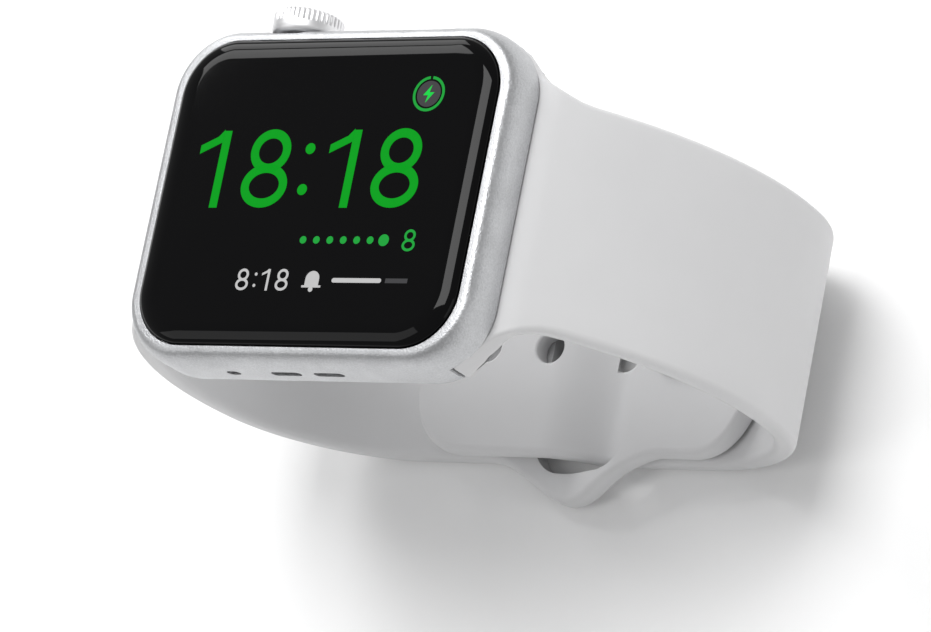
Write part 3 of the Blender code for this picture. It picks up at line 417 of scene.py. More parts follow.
def cut(obj, cutters):
    """Take the cutters out of the piece and keep the result as its mesh."""
    for index, bm in enumerate(cutters):
        bmesh.ops.recalc_face_normals(bm, faces=bm.faces)
        mesh = bpy.data.meshes.new(f"cutter_{index}")
        bm.to_mesh(mesh)
        bm.free()
        cutter = bpy.data.objects.new(f"cutter_{index}", mesh)
        bpy.context.scene.collection.objects.link(cutter)
        modifier = obj.modifiers.new("cut", "BOOLEAN")
        modifier.operation = "DIFFERENCE"
        modifier.solver = "EXACT"
        modifier.object = cutter
        bpy.context.view_layer.update()
        shape = obj.evaluated_get(bpy.context.evaluated_depsgraph_get())
        result = bpy.data.meshes.new_from_object(shape)
        obj.modifiers.clear()
        obj.data = result
        bpy.data.objects.remove(cutter)
    obj.data.name = obj.name
    obj.data.shade_smooth()
    obj.data.set_sharp_from_angle(angle=math.radians(SHARP))


# ---- Case -------------------------------------------------------------------------------
def slot_cutters(side):
    """Undercut slot across one end of the case, for the strap's lug."""
    reach = CASE_X + GAP
    mouth = CASE_Y - SLOT_MOUTH_DEPTH
    spans = ((SLOT_FLOOR, mouth, HEAD_THICK / 2 + GAP),
             (mouth - GAP, CASE_Y + 2 * GAP, NECK_THICK / 2 + GAP))
    made = []
    for near, far, half in spans:
        low, high = sorted((side * near, side * far))
        made.append(block((-reach, low, SLOT_HEIGHT - half), (reach, high, SLOT_HEIGHT + half)))
    return made


def release_cutter(tag):
    """Well of a release button, a gap wider than the button all round."""
    low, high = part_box(f"release_button_{tag}")
    half = (high - low) / 2
    middle = (high + low) / 2
    corner = half.y + GAP
    return plate(half.x + GAP, corner, corner * WELL_ROUND, 0.0, SLOT_HEIGHT,
                 (middle.x, middle.y))


def crown_middle():
    """(y, z) of the crown's axis."""
    low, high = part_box("crown_cap")
    return ((low.y + high.y) / 2, (low.z + high.z) / 2)


def make_case():
    """Bead-blasted housing: soft upper and lower edges, a rebate for the glass and its slots."""
    bm = plate(CASE_X, CASE_Y, CASE_CORNER, CASE_BASE + CASE_BACK_ROUND,
               CASE_RIM - CASE_TOP_ROUND, segments=28)
    round_end(bm, 1, CASE_TOP_INSET, CASE_TOP_ROUND, 14)
    round_end(bm, -1, CASE_BACK_INSET, CASE_BACK_ROUND, 12)
    case = finish_piece("case_shell", bm, "aluminium", "case", ("case_housing",))
    cap_low, cap_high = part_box("crown_cap")
    cover_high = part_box("back_cover")[1]
    glass_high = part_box("cover_glass")[1]
    gasket_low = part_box("force_gasket")[0]
    button_low, button_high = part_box("side_button_cap")
    bush_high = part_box("crown_bush")[1]
    middle = crown_middle()
    bore = (bush_high.z - middle[1]) + GAP
    crown_radius = (cap_high.y - cap_low.y) / 2
    past = CASE_X + GAP
    recess_floor = CASE_X - CROWN_RECESS
    cavity_floor = CASE_BASE + BACK_WALL
    button_y = (button_low.y + button_high.y) / 2
    button_z = (button_low.z + button_high.z) / 2
    button_length = button_high.y - button_low.y
    button_width = button_high.z - button_low.z
    stem_y = STEM_HALF_LENGTH + GAP
    stem_z = STEM_HALF_HEIGHT + GAP
    cutters = [
        plate(INNER_X, INNER_Y, CAVITY_CORNER, cavity_floor, CASE_RIM + GAP),
        plate(glass_high.x + GLASS_GAP, glass_high.y + GLASS_GAP, GLASS_CORNER + GLASS_GAP,
              gasket_low.z - GAP, CASE_RIM + GAP, segments=28),
        plate(cover_high.x + GAP, cover_high.y + GAP, CAVITY_CORNER + GAP, 0.0,
              cavity_floor + GAP),
        spun([(bore, INNER_X - GAP), (bore, recess_floor),
              (crown_radius + GAP, recess_floor), (crown_radius + GAP, past)], middle, "X", 72),
        pill(button_length + 2 * GAP, button_width + 2 * GAP, 0.0,
             CASE_X - BUTTON_WELL, past, button_y, button_z),
        block((INNER_X - GAP, button_y - stem_y, button_z - stem_z),
              (past, button_y + stem_y, button_z + stem_z)),
    ]
    for side, tag in ((-1, "6"), (1, "12")):
        cutters += slot_cutters(side)
        cutters.append(release_cutter(tag))
    speaker_low, speaker_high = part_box("speaker_mesh")
    speaker_middle = (speaker_low.y + speaker_high.y) / 2
    microphone_low, microphone_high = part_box("microphone")
    ports = [(speaker_middle - PORT_OFFSET, PORT_LENGTH),
             (speaker_middle + PORT_OFFSET, PORT_LENGTH),
             ((microphone_low.y + microphone_high.y) / 2, MICROPHONE_PORT)]
    for y, length in ports:
        cutters.append(pill(length, PORT_HEIGHT, 0.0, -past, -INNER_X + GAP, y, button_z))
    cut(case, cutters)


def make_glass():
    """Cover glass: straight below the lip, rolled over above it to the flat top."""
    low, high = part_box("cover_glass")
    bm = plate(high.x, high.y, GLASS_CORNER, low.z, CASE_RIM, segments=28)
    round_end(bm, 1, GLASS_ROLL, GLASS_RISE, 24)
    finish_piece("glass_shell", bm, "glass", "case", ("cover_glass",), SHARP_TURNED)


# ---- Crown and side button --------------------------------------------------------------
KNURL_COUNT = 40
KNURL_DEPTH = 0.13 * MM
KNURL_SIDES = 8 * KNURL_COUNT
KNURL_START = 0.5               # share of the cap's length that stays smooth
KNURL_RUN = 0.12 * MM           # run over which the grooves reach their depth
KNURL_FADE = 0.1 * MM
GROOVE_STEEP = 3.6
CROWN_EDGE = 0.35 * MM
CROWN_FOOT = 1.6 * MM
DISH_RIM = 1.1 * MM
DISH_DEPTH = 0.5 * MM
DISH_EDGE = 0.12 * MM
CROWN_DISC_EDGE = 0.08 * MM


def make_crown():
    """Turned cap: smooth towards the case, knurled on its outer part, dished end."""
    low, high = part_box("crown_cap")
    middle = crown_middle()
    radius = (high.y - low.y) / 2
    back_edge = 2.2 * CROWN_EDGE
    knurl_start = low.x + (high.x - low.x) * KNURL_START
    knurl_end = high.x - CROWN_EDGE
    dish = radius - DISH_RIM
    profile = [(CROWN_FOOT, low.x), (radius - back_edge, low.x)]
    profile += arc(back_edge, -90, 0, (radius - back_edge, low.x + back_edge), 8)[1:]
    profile += [(radius, knurl_start - KNURL_FADE), (radius, knurl_start),
                (radius, knurl_start + KNURL_RUN), (radius, (knurl_start + knurl_end) / 2),
                (radius, knurl_end - KNURL_FADE)]
    profile += arc(CROWN_EDGE, 0, 90, (radius - CROWN_EDGE, high.x - CROWN_EDGE), 6)
    profile += [(dish + DISH_EDGE, high.x)]
    profile += arc(DISH_EDGE, 90, 180, (dish + DISH_EDGE, high.x - DISH_EDGE), 4)[1:]
    profile += [(dish, high.x - DISH_DEPTH)]
    bm = spun(profile, middle, "X", KNURL_SIDES)
    axis = Vector((0, *middle))
    grooved = radius - 1.2 * CROWN_EDGE
    for vert in bm.verts:
        away = Vector((0, vert.co.y, vert.co.z)) - axis
        if away.length < grooved or vert.co.x <= knurl_start:
            continue
        turn = math.atan2(away.z, away.y) / (2 * math.pi) * KNURL_COUNT
        groove = max(0.0, 1 - GROOVE_STEEP * abs(turn - round(turn)))
        depth = KNURL_DEPTH * groove * min(1.0, (vert.co.x - knurl_start) / KNURL_RUN)
        vert.co -= away.normalized() * depth
    finish_piece("crown_cap_shell", bm, "turned", "crown", ("crown_cap",), SHARP_TURNED)
    disc_low, disc_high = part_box("crown_end_disc")
    wide = (disc_high.y - disc_low.y) / 2
    soft = CROWN_DISC_EDGE
    profile = [(0.0, disc_low.x), (wide, disc_low.x)]
    profile += arc(soft, 0, 90, (wide - soft, disc_high.x - soft), 4)
    profile += [(0.0, disc_high.x)]
    finish_piece("crown_end_disc_shell", spun(profile, middle, "X", 72), "moulding", "crown",
                 ("crown_end_disc",))


def make_side_button():
    """Long low button with softened edges, and the stem that reaches its switch."""
    low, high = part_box("side_button_cap")
    y = (low.y + high.y) / 2
    z = (low.z + high.z) / 2
    inner = high.x - BUTTON_CAP
    cap = pill(high.y - low.y, high.z - low.z, BUTTON_EDGE, inner, high.x, y, z)
    stem = block((low.x, y - STEM_HALF_LENGTH, z - STEM_HALF_HEIGHT),
                 (inner, y + STEM_HALF_LENGTH, z + STEM_HALF_HEIGHT))
    bm = merge([cap, stem])
    finish_piece("side_button_shell", bm, "turned", "side_button", ("side_button_cap",))


# ---- Display ----------------------------------------------------------------------------
CELL_LIFT = 0.015 * MM
CELL_THICK = 0.01 * MM
TIME_HEIGHT = 8.4 * MM
TIME_STROKE = 0.98 * MM
TIME_BASE = -2.1 * MM
SMALL_HEIGHT = 2.3 * MM
SMALL_STROKE = 0.28 * MM
DATE_BASE = -6.65 * MM
ALARM_BASE = -10.88 * MM
DATE_PLACE = 12.95 * MM
DAY_COUNT = 7
DAY_START = 0.2
DAY_PITCH = 1.62
DAY_RADIUS = 0.4
LAST_DAY_RADIUS = 0.62
BELL_PLACE = 2.3 * MM
GAUGE = (4.9 * MM, 13.7 * MM)   # start and end of the gauge beside the alarm time
GAUGE_SHARE = 0.62              # part of the gauge that is lit
GAUGE_HALF = 0.24 * MM
CHARGE_PLACE = (11.77 * MM, 9.93 * MM)
CHARGE_RADIUS = 1.87 * MM
CHARGE_DISC = 0.74              # shares of the mark's radius: disc, ring, gap and bolt
CHARGE_STROKE = 0.16
CHARGE_GAP = 0.9155
CHARGE_BOLT = 0.82
BOLT = [(0.16, 0.62), (-0.42, -0.10), (-0.04, -0.10), (-0.16, -0.62), (0.42, 0.10),
        (0.04, 0.10)]
COLON_DOTS = (0.23, 0.75)       # heights of the two dots, as shares of the figure's height


def on_glass(bm, right, up, size=1.0):
    """Lay a flat drawing, x right and y up, on the glass: right is -Y and up is +X."""
    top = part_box("cover_glass")[1].z + CELL_LIFT
    turn = Matrix(((0, size, 0, up), (-size, 0, 0, -right), (0, 0, 1, top), (0, 0, 0, 1)))
    bmesh.ops.transform(bm, matrix=turn, verts=bm.verts)
    return bm


def ring(half_x, half_y, stroke, centre_y, segments=48):
    """Flat ring of even width round an ellipse."""
    bm = bmesh.new()
    bmesh.ops.create_circle(bm, cap_ends=True, segments=segments, radius=1.0)
    bmesh.ops.scale(bm, vec=(half_x, half_y, 1.0), verts=bm.verts)
    bmesh.ops.inset_region(bm, faces=bm.faces[:], thickness=stroke, use_even_offset=True,
                           use_boundary=True)
    inner = min(bm.faces, key=lambda face: (face.calc_center_median() - Vector()).length)
    bmesh.ops.delete(bm, geom=[inner], context="FACES")
    bmesh.ops.translate(bm, vec=(0.0, centre_y, 0.0), verts=bm.verts)
    return bm


def bar(x_low, x_high, y_low, y_high):
    """Flat rectangle."""
    bm = bmesh.new()
    bmesh.ops.create_grid(bm, x_segments=1, y_segments=1, size=0.5)
    bmesh.ops.scale(bm, vec=(x_high - x_low, y_high - y_low, 1.0), verts=bm.verts)
    bmesh.ops.translate(bm, vec=((x_low + x_high) / 2, (y_low + y_high) / 2, 0.0),
                        verts=bm.verts)
    return bm


def merge(parts):
    """Join several bmesh drawings into the first."""
    first = parts[0]
    for part in parts[1:]:
        mesh = bpy.data.meshes.new("part")
        part.to_mesh(mesh)
        part.free()
        first.from_mesh(mesh)
        bpy.data.meshes.remove(mesh)
    return first


def disc(radius, x, y, segments=32):
    """Flat round dot."""
    bm = bmesh.new()
    bmesh.ops.create_circle(bm, cap_ends=True, segments=segments, radius=radius)
    bmesh.ops.translate(bm, vec=(x, y, 0.0), verts=bm.verts)
    return bm


def shape(points):
    """Flat face with the given corners."""
    bm = bmesh.new()
    bm.faces.new([bm.verts.new((x, y, 0.0)) for x, y in points])
    return bm


def eight(height, stroke):
    """Figure 8 from two rings, the upper one smaller. Its foot is at y = 0."""
    low_wide, low_half = height * 0.335, height * 0.28
    high_wide, high_half = height * 0.29, (height - 2 * low_half + stroke) / 2
    return merge([ring(low_wide, low_half, stroke, low_half),
                  ring(high_wide, high_half, stroke, height - high_half)])


def one(height, stroke):
    """Figure 1: an upright stroke with a long flag falling from its head."""
    reach = height * 0.36
    root = stroke * 0.4
    head = height * 0.985
    flag = shape([(-reach, height * 0.69), (-root, height * 0.84), (-root, height),
                  (-stroke * 1.1, height * 0.91), (-reach, height * 0.80)])
    return merge([bar(-stroke / 2, stroke / 2, 0.0, head), flag])


def colon(height, stroke):
    """Two dots, a little wider than the stroke."""
    return merge([disc(stroke * 0.6, 0.0, height * share) for share in COLON_DOTS])


def row(figures, height, stroke, base):
    """Figures of one size on one base line: (shape, place to the right) pairs."""
    return [on_glass(figure(height, stroke), right, base) for figure, right in figures]


def flat_piece(name, bm, look):
    """Flat drawing on the glass, with a hair of thickness."""
    obj = finish_piece(name, bm, look, "case")
    solid = obj.modifiers.new("thickness", "SOLIDIFY")
    solid.thickness = CELL_THICK
    solid.offset = 1.0
    return obj


def bell(size):
    """Bell mark: a dome on a straight brim, with its clapper below."""
    wide, brim, shoulder = size * 0.36, size * 0.5, size * 0.56
    return merge([disc(wide, 0.0, shoulder, 24), bar(-wide, wide, size * 0.22, shoulder),
                  bar(-brim, brim, size * 0.16, size * 0.26),
                  disc(size * 0.12, 0.0, size * 0.08, 16)])


def make_display():
    """Time, day dots with the date, alarm time with its gauge, and the charging mark."""
    time = [(one, -11.8), (eight, -6.0), (colon, -1.2), (one, 4.2), (eight, 9.85)]
    flat_piece("lit_time", merge(row([(figure, place * MM) for figure, place in time],
                                     TIME_HEIGHT, TIME_STROKE, TIME_BASE)), "green")
    date = row([(eight, DATE_PLACE)], SMALL_HEIGHT, SMALL_STROKE, DATE_BASE)
    middle = SMALL_HEIGHT / 2
    for day in range(DAY_COUNT):
        radius = (LAST_DAY_RADIUS if day == DAY_COUNT - 1 else DAY_RADIUS) * MM
        date.append(on_glass(disc(radius, 0.0, middle), (DAY_START + DAY_PITCH * day) * MM,
                             DATE_BASE))
    flat_piece("lit_date", merge(date), "soft_green")
    alarm_time = [(eight, -6.2), (colon, -4.65), (one, -3.1), (eight, -1.35)]
    alarm = row([(figure, place * MM) for figure, place in alarm_time], SMALL_HEIGHT,
                SMALL_STROKE, ALARM_BASE)
    alarm.append(on_glass(bell(SMALL_HEIGHT), BELL_PLACE, ALARM_BASE))
    start, end = GAUGE
    reached = start + GAUGE_SHARE * (end - start)
    low, high = middle - GAUGE_HALF, middle + GAUGE_HALF
    alarm.append(on_glass(bar(start, reached, low, high), 0.0, ALARM_BASE))
    for place in (start, reached):
        alarm.append(on_glass(disc(GAUGE_HALF, 0.0, middle, 20), place, ALARM_BASE))
    flat_piece("lit_alarm", merge(alarm), "grey")
    rest = bar(reached + 3 * GAUGE_HALF, end, low, high)
    flat_piece("dim_gauge", on_glass(rest, 0.0, ALARM_BASE), "dim")
    place, up = CHARGE_PLACE
    inside = disc(CHARGE_RADIUS * CHARGE_DISC, 0.0, 0.0)
    flat_piece("charge_disc", on_glass(inside, place, up), "dim")
    outer = ring(CHARGE_RADIUS, CHARGE_RADIUS, CHARGE_RADIUS * CHARGE_STROKE, 0.0, 72)
    gap = [face for face in outer.faces
           if face.calc_center_median().y > CHARGE_RADIUS * CHARGE_GAP]
    bmesh.ops.delete(outer, geom=gap, context="FACES")
    flat_piece("charge_ring", on_glass(outer, place, up), "soft_green")
    bolt = on_glass(shape(BOLT), place, up, CHARGE_RADIUS * CHARGE_BOLT)
    bmesh.ops.translate(bolt, vec=(0.0, 0.0, 2 * CELL_THICK), verts=bolt.verts)
    flat_piece("charge_bolt", bolt, "vivid_green")


# ---- Back -------------------------------------------------------------------------------
CRYSTAL_FLAT = 8.5 * MM
CRYSTAL_EDGE = 0.12 * MM
CRYSTAL_STEPS = 24
LENS_EDGE = 0.1 * MM
RELEASE_EDGE = 0.15 * MM
SHANK_RADIUS = 1.3 * MM
SHANK_EDGE = 0.15 * MM
STUD_HEAD = 0.8 * MM
STUD_EDGE = 0.25 * MM
STUD_DOME = 0.1 * MM            # rise of the head from its middle to its rim
WASHER_EDGE = 0.12 * MM


def soft_disc(radius, low, high, edge, centre):
    """Upright disc with both rims rounded."""
    profile = [(0.0, low), (radius - edge, low)]
    profile += arc(edge, -90, 0, (radius - edge, low + edge), 4)[1:]
    profile += arc(edge, 0, 90, (radius - edge, high - edge), 4)
    profile += [(0.0, high)]
    return spun(profile, centre, "Z", 64)


def middle_of(node):
    """Middle of a node's box."""
    low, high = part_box(node)
    return (low + high) / 2


def make_back():
    """Domed crystal with its four windows, the cover round it and the two release buttons."""
    low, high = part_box("back_crystal")
    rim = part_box("back_cover")[0].z
    edge = CRYSTAL_EDGE
    profile = [(0.0, high.z), (high.x - edge, high.z)]
    profile += arc(edge, 90, 0, (high.x - edge, high.z - edge), 4)[1:]
    for step in range(CRYSTAL_STEPS + 1):
        share = step / CRYSTAL_STEPS
        profile.append((high.x + (CRYSTAL_FLAT - high.x) * share, rim * (1 - share) ** 2))
    profile.append((0.0, 0.0))
    crystal = finish_piece("back_crystal_shell", spun(profile, (0.0, 0.0), "Z", 128), "crystal",
                           "case", ("back_crystal",))
    wells = []
    for index in range(1, 5):
        node = f"sensor_window_{index}"
        window_low, window_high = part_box(node)
        radius = (window_high.x - window_low.x) / 2
        centre = middle_of(node).xy
        wells.append(spun([(radius + GAP / 2, low.z - GAP), (radius + GAP / 2, high.z + GAP)],
                          centre, "Z", 64))
        lens = soft_disc(radius, window_low.z, window_high.z, LENS_EDGE, centre)
        finish_piece(f"{node}_lens", lens, "sapphire", "case", (node,))
    cut(crystal, wells)
    cover_low, cover_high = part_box("back_cover")
    bm = plate(cover_high.x, cover_high.y, CAVITY_CORNER, cover_low.z, cover_high.z)
    cover = finish_piece("back_cover_shell", bm, "plastic", "case", ("back_cover",))
    opening = high.x + GAP / 2
    cut(cover, [spun([(opening, 0.0), (opening, cover_high.z + GAP)], (0.0, 0.0), "Z", 128)])
    for tag in ("12", "6"):
        node = f"release_button_{tag}"
        button_low, button_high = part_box(node)
        half = (button_high - button_low) / 2
        middle = (button_high + button_low) / 2
        bm = plate(half.x, half.y, half.y * BUTTON_ROUND, button_low.z, button_high.z,
                   middle.xy[:])
        round_end(bm, -1, RELEASE_EDGE, RELEASE_EDGE, 4)
        bmesh.ops.translate(bm, vec=(0.0, 0.0, RELEASE_EDGE), verts=bm.verts)
        top = [vert for vert in bm.verts if vert.co.z > button_high.z]
        bmesh.ops.translate(bm, vec=(0.0, 0.0, -RELEASE_EDGE), verts=top)
        finish_piece(f"{node}_cap", bm, "turned", f"release_{tag}", (node,))


def make_stud():
    """Turned pin of the closure with its domed head, and the washer that holds it inside."""
    low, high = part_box("closure_stud")
    centre = middle_of("closure_stud").xy
    head = (high.x - low.x) / 2
    shank = SHANK_RADIUS
    soft = SHANK_EDGE
    head_top = low.z + STUD_HEAD
    edge = STUD_EDGE
    rim = low.z + STUD_DOME
    profile = [(0.0, low.z), (head * 0.5, low.z + 0.02 * MM), (head - edge, rim)]
    profile += arc(edge, -70, 0, (head - edge, rim + edge), 5)
    profile += arc(edge, 0, 90, (head - edge, head_top - edge), 5)
    profile += [(shank + soft, head_top), (shank, head_top + soft),
                (shank, high.z - soft), (shank - soft, high.z), (0.0, high.z)]
    finish_piece("stud_pin", spun(profile, centre, "Z", 72), "steel", "band",
                 ("closure_stud",))
    low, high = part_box("stud_washer")
    outer = (high.x - low.x) / 2
    inner = shank + GAP / 2
    soft = WASHER_EDGE
    profile = arc(soft, -90, 0, (outer - soft, low.z + soft), 4)
    profile += arc(soft, 0, 90, (outer - soft, high.z - soft), 4)
    profile += arc(soft, 90, 180, (inner + soft, high.z - soft), 4)
    profile += arc(soft, 180, 270, (inner + soft, low.z + soft), 4)
    washer = spun(profile + profile[:1], centre, "Z", 72)
    finish_piece("stud_washer_ring", washer, "steel", "band", ("stud_washer",))


# ---- Straps -----------------------------------------------------------------------------
LOOP_STEPS = (14, 22, 24)       # sections round the shoulder, the side and the corner
BOTTOM_STEPS = 60
RING_STEPS = 64
END_STEPS = 12
TAIL_TIP = 0.45                 # width of the tail's tip, as a share of the strap's
STUD_RECESS = 1.2 * MM
HOLE_FLARE = 0.25 * MM
STUD_HOLE_FLARE = 0.2 * MM
FLARE_TURNS = (0, 30, 60, 90)


def ease(share):
    """Smooth step from 0 to 1."""
    share = min(max(share, 0.0), 1.0)
    return share * share * (3 - 2 * share)


def layer_rise():
    """Height of the inner layer above the outer one where the two lie together."""
    return STRAP_THICK + GAP


def loop_path(side):
    """(y, z, kind) points from the slot out, down and round to the flat bottom run."""
    points = [(LUG_START, "head"), (LUG_NECK - 2 * GAP, "head"), (LUG_NECK, "neck"),
              (STRAP_EXIT - 2 * GAP, "neck")]
    made = [(side * y, SLOT_HEIGHT, kind) for y, kind in points]
    y, z = STRAP_EXIT, SLOT_HEIGHT
    heading = 0.0
    turns = ((SHOULDER_RADIUS, SHOULDER_TURN), (SIDE_RADIUS, SIDE_TURN),
             (CORNER_RADIUS, HALF_TURN - SHOULDER_TURN - SIDE_TURN))
    for (radius, turn), steps in zip(turns, LOOP_STEPS):
        centre_y = y - radius * math.sin(heading)
        centre_z = z - radius * math.cos(heading)
        for step in range(steps + (radius == CORNER_RADIUS)):
            angle = heading + math.radians(turn) * step / steps
            made.append((side * (centre_y + radius * math.sin(angle)),
                         centre_z + radius * math.cos(angle), "strap"))
        heading += math.radians(turn)
        y = centre_y + radius * math.sin(heading)
        z = centre_z + radius * math.cos(heading)
    return made


def section_turn(path, index):
    """Place and turn of the cross-section at one point: x across, local y out of the strap."""
    before = path[max(index - 1, 0)]
    after = path[min(index + 1, len(path) - 1)]
    along = Vector((0.0, after[0] - before[0], after[1] - before[1])).normalized()
    normal = Vector((0.0, -along.z, along.y))
    return Matrix(((1, 0, 0, 0), (0, normal.y, along.y, path[index][0]),
                   (0, normal.z, along.z, path[index][1]), (0, 0, 0, 1)))


def section(half, thick, edge):
    """Rounded cross-section face in the XY plane, with extra points along its long sides."""
    bm = bmesh.new()
    bmesh.ops.create_grid(bm, x_segments=1, y_segments=1, size=0.5)
    bmesh.ops.scale(bm, vec=(2 * half, thick, 1.0), verts=bm.verts)
    bmesh.ops.bevel(bm, geom=bm.verts[:], offset=edge, offset_type="OFFSET",
                    affect="VERTICES", segments=6, profile=0.5, material=-1)
    long_sides = [item for item in bm.edges if item.calc_length() > half]
    bmesh.ops.subdivide_edges(bm, edges=long_sides, cuts=9)
    return bm


def strap_solid(path, half_width, thickness):
    """Extrude the cross-section from point to point, setting its width and thickness."""
    half = half_width(0)
    thick = thickness(0)
    edge = LUG_EDGE
    bm = section(half, thick, edge)
    place = section_turn(path, 0)
    bmesh.ops.transform(bm, matrix=place, verts=bm.verts)
    cap = bm.faces[:]
    for index in range(1, len(path)):
        result = bmesh.ops.extrude_face_region(bm, geom=cap)
        if index > 1:
            bmesh.ops.delete(bm, geom=cap, context="FACES_ONLY")
        moved = [item for item in result["geom"] if isinstance(item, bmesh.types.BMVert)]
        cap = [item for item in result["geom"] if isinstance(item, bmesh.types.BMFace)]
        bmesh.ops.transform(bm, matrix=place.inverted(), verts=moved)
        new_half = half_width(index)
        new_thick = thickness(index)
        settled = ease((index - LUG_ROUND_UNTIL) / LUG_ROUND_RUN)
        new_edge = LUG_EDGE * (1 - settled) + STRAP_EDGE * settled
        for vert in moved:
            inward = (half - abs(vert.co.x)) / edge
            if inward < 1.0001:
                vert.co.x = math.copysign(new_half - inward * new_edge, vert.co.x)
            else:
                vert.co.x *= (new_half - new_edge) / (half - edge)
            rise = abs(vert.co.y) - (thick / 2 - edge)
            if rise > 0.0 and inward < 1.0001:
                level = new_thick / 2 - new_edge + rise * new_edge / edge
                vert.co.y = math.copysign(level, vert.co.y)
            else:
                vert.co.y *= new_thick / thick
        half, thick, edge = new_half, new_thick, new_edge
        place = section_turn(path, index)
        bmesh.ops.transform(bm, matrix=place, verts=moved)
    return bm


THICKNESS = {"head": HEAD_THICK + 2 * (GAP - SLOT_FIT),
             "neck": NECK_THICK + 2 * (GAP - SLOT_FIT),
             "strap": STRAP_THICK}


def lug_width(y):
    """Half width at the case: it follows the case's corner, then draws in to the strap."""
    share = min((abs(y) - LUG_START) / (STRAP_EXIT + FLARE_RUN - LUG_START), 1.0)
    return STRAP_HALF + (LUG_REACH - STRAP_HALF) * (1 - share) ** FLARE_CURVE


def upper_width(path, index, count):
    """Half width down the side of the loop, easing to the width at the closure."""
    drop = (SLOT_HEIGHT - path[index][1]) / (SLOT_HEIGHT - path[count - 1][1])
    flared = lug_width(path[index][0]) if drop < 0.5 else STRAP_HALF
    return flared + (STRAP_END_HALF - STRAP_HALF) * max(drop, 0.0)


def lug_pocket(side):
    """Cutters for the release button's well in the lug and for the latch's pocket above it."""
    low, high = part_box("release_button_12")
    middle = side * (low.y + high.y) / 2
    radius = LATCH_RADIUS + GAP
    half_x = high.x + GAP
    half_y = (high.y - low.y) / 2 + GAP
    bottom = SLOT_HEIGHT - HEAD_THICK
    well = plate(half_x, half_y, half_y * BUTTON_ROUND, bottom,
                 SLOT_HEIGHT - HEAD_THICK / 2 + SLOT_FIT, (0.0, middle))
    return [well, spun([(radius, bottom), (radius, SLOT_HEIGHT + LATCH_POCKET)],
                       (0.0, middle), "Z", 32)]


def rounded_hole(radius, y, low, high, flare):
    """Cutter for a hole whose rims are rounded where it meets the faces at low and high."""
    turns = [math.radians(turn) for turn in FLARE_TURNS]
    profile = [(radius + flare, low - flare)]
    profile += [(radius + flare * (1 - math.sin(turn)), low + flare * (1 - math.cos(turn)))
                for turn in turns]
    profile += [(radius + flare * (1 - math.cos(turn)), high - flare * (1 - math.sin(turn)))
                for turn in turns]
    profile += [(radius + flare, high + flare)]
    return spun(profile, (0.0, y), "Z", 48)


def make_holes_strap():
    """6 o'clock half: outside the end tab, then up through the tuck slot to the inside."""
    path = loop_path(-1)
    side_count = len(path)
    low = path[-1][1]
    high = low + layer_rise()
    start = path[-1][0]
    tip = STRAP_END_HALF / 2
    straight_end = TAIL_END - tip
    for step in range(1, BOTTOM_STEPS + 1):
        y = start + (straight_end - start) * step / BOTTOM_STEPS
        path.append((y, low + (high - low) * ease((y - CROSS_START) / CROSS_RUN), "strap"))
    body = len(path)
    for step in range(1, END_STEPS + 1):
        angle = math.pi / 2 * step / (END_STEPS + 1)
        path.append((TAIL_END - tip * (1 - math.sin(angle)), high, "strap"))

    def half_width(index):
        if index < side_count:
            return upper_width(path, index, side_count)
        if index < body:
            return STRAP_END_HALF
        share = (path[index][0] - straight_end) / tip
        return STRAP_END_HALF * (TAIL_TIP + (1 - TAIL_TIP) * math.sqrt(1 - share * share))

    bm = strap_solid(path, half_width, lambda index: THICKNESS[path[index][2]])
    strap = finish_piece("holes_strap_skin", bm, "strap", "band", ("holes_strap",))
    head_low, head_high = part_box("closure_stud")
    head = (head_high.x - head_low.x) / 2 + GAP
    cutters = [*lug_pocket(-1),
               spun([(head, low - STRAP_THICK), (head, head_low.z + STUD_RECESS)],
                    (0.0, STUD_PLACE), "Z", 48)]
    for count in range(HOLE_COUNT):
        y = STUD_PLACE + HOLE_PITCH * count
        level = low if y < (CROSS_START + CROSS_RUN / 2) else high
        cutters.append(rounded_hole(HOLE_RADIUS, y, level - STRAP_THICK / 2,
                                    level + STRAP_THICK / 2, HOLE_FLARE))
    cut(strap, cutters)


def make_pin_strap():
    """12 o'clock half: a widened ring round the tuck slot, then the end tab on the inside."""
    path = loop_path(1)
    side_count = len(path)
    low = path[-1][1]
    high = low + layer_rise()
    start, tab_start = path[-1][0], -path[-1][0]
    for step in range(1, RING_STEPS + 1):
        y = start + (tab_start - start) * step / RING_STEPS
        path.append((y, high + (low - high) * ease((y - RING_RISE_START) / CROSS_RUN), "strap"))
    body = len(path)
    radius = CORNER_RADIUS - layer_rise()
    for step in range(1, END_STEPS + 1):
        angle = math.radians(TAB_CURL) * step / END_STEPS
        path.append((tab_start - radius * math.sin(angle),
                     high + radius * (1 - math.cos(angle)), "strap"))

    def half_width(index):
        if index < side_count:
            return upper_width(path, index, side_count)
        if index >= body:
            share = (index - body + 1) / (END_STEPS + 1.4)
            return TAB_HALF * math.sqrt(1 - share * share * 0.75)
        y = path[index][0]
        swell = 1 - ease(abs(y - RING_MIDDLE) / RING_SPREAD)
        base = TAB_HALF if y < RING_MIDDLE else STRAP_END_HALF
        return base + (RING_HALF - base) * swell

    bm = strap_solid(path, half_width, lambda index: THICKNESS[path[index][2]])
    strap = finish_piece("pin_strap_skin", bm, "strap", "band", ("pin_strap",))
    half_y = (TUCK_SLOT_END - TUCK_SLOT_START) / 2
    slot = plate(STRAP_END_HALF + TUCK_SLOT_EASE, half_y, TUCK_SLOT_CORNER,
                 low - 2 * STRAP_THICK, high + 2 * STRAP_THICK,
                 (0.0, TUCK_SLOT_START + half_y))
    cut(strap, [*lug_pocket(1), slot,
                rounded_hole(HOLE_RADIUS, STUD_PLACE, high - STRAP_THICK / 2,
                             high + STRAP_THICK / 2, STUD_HOLE_FLARE)])


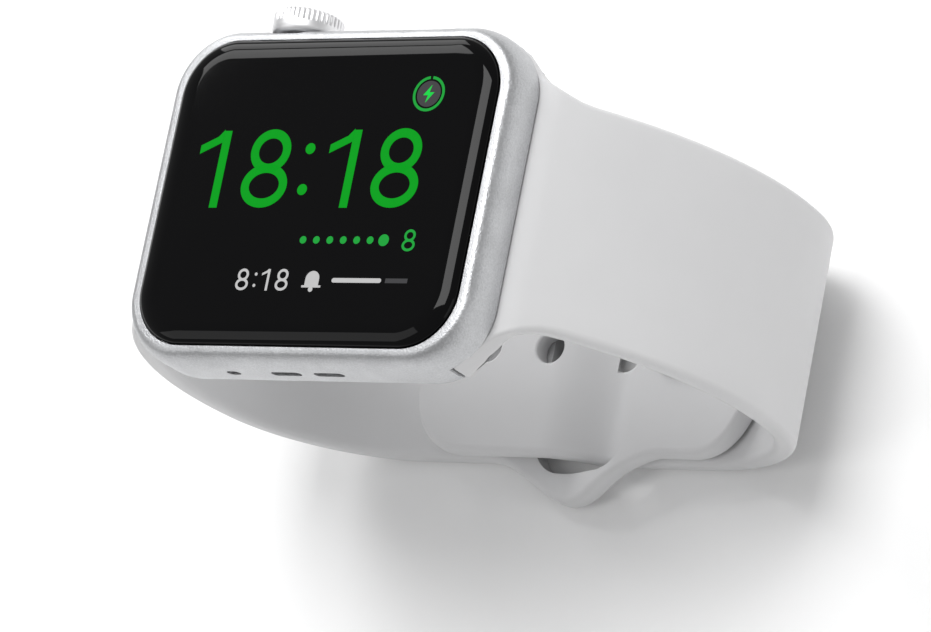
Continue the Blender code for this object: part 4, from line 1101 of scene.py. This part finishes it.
# ---- Stage ------------------------------------------------------------------------------
FLOOR_DROP = 0.1 * MM
FLOOR_HALF = 3.0
AIM_POINT = (0, 0, -0.01)
SENSOR_WIDTH = 36.0


def make_floor():
    """Plain pale floor just under the band."""
    bm = bmesh.new()
    bmesh.ops.create_grid(bm, x_segments=1, y_segments=1, size=FLOOR_HALF)
    bmesh.ops.translate(bm, vec=(0.0, 0.0, cad_box[0].z - FLOOR_DROP), verts=bm.verts)
    mesh = bpy.data.meshes.new("floor")
    bm.to_mesh(mesh)
    bm.free()
    floor = bpy.data.objects.new("floor", mesh)
    bpy.context.scene.collection.objects.link(floor)
    # Matt painted board: near white, with a faint roller texture.
    mesh.materials.append(grained("matt_painted_board", "#F6F6F6", "#F2F2F2", 0.9, 1.5 * MM,
                                  0.01 * MM, 60.0 * MM))


def aim(place, toward):
    """Turn that points a light at place toward a point."""
    return (Vector(toward) - Vector(place)).to_track_quat("-Z", "Y").to_euler()


LIGHTS = (
    # name, direction from the watch, distance, width and height in metres, power in watts
    ("overhead", (0.30, -0.05, 0.95), 1.7, (0.9, 0.9), 20.0),
    ("crown_side_high", (0.51, 0.55, 0.66), 1.5, (0.6, 0.38), 4.2),
    ("crown_side_low", (0.75, 0.55, 0.36), 1.5, (0.6, 0.56), 4.5),
    ("far_side", (-0.36, 0.55, 0.75), 1.5, (0.6, 1.1), 3.2),
    ("front", (-0.25, -0.93, 0.28), 1.6, (0.9, 0.8), 2.4),
)


def make_lights():
    """Soft boxes round the watch, and an even pale surround."""
    for name, direction, distance, size, power in LIGHTS:
        data = bpy.data.lights.new(name, "AREA")
        data.shape = "RECTANGLE"
        data.size, data.size_y = size
        data.energy = power
        light = bpy.data.objects.new(name, data)
        bpy.context.scene.collection.objects.link(light)
        light.location = Vector(direction).normalized() * distance
        light.rotation_euler = aim(light.location, AIM_POINT)
    world = bpy.data.worlds.new("surround")
    world.use_nodes = True
    surround = world.node_tree.nodes["Background"]
    surround.inputs["Color"].default_value = srgb("#C8C8C8")
    surround.inputs["Strength"].default_value = 0.68
    bpy.context.scene.world = world
    bpy.context.scene.view_settings.view_transform = "Standard"


CAMERA_PLACE = (-0.15414, -0.31485, 0.43205)
CAMERA_TURN = (22.27, 31.21, -77.32)
CAMERA_LENS = 212.0


def make_camera():
    """Long lens above and to one side of the watch."""
    data = bpy.data.cameras.new("camera")
    data.lens = CAMERA_LENS
    data.sensor_width = SENSOR_WIDTH
    data.sensor_fit = "HORIZONTAL"
    camera = bpy.data.objects.new("camera", data)
    bpy.context.scene.collection.objects.link(camera)
    camera.location = CAMERA_PLACE
    camera.rotation_euler = Euler([math.radians(turn) for turn in CAMERA_TURN])
    bpy.context.scene.camera = camera


make_camera()
make_floor()
make_lights()
finish_cad_nodes()
make_case()
make_glass()
make_crown()
make_side_button()
make_display()
make_back()
make_stud()
make_holes_strap()
make_pin_strap()
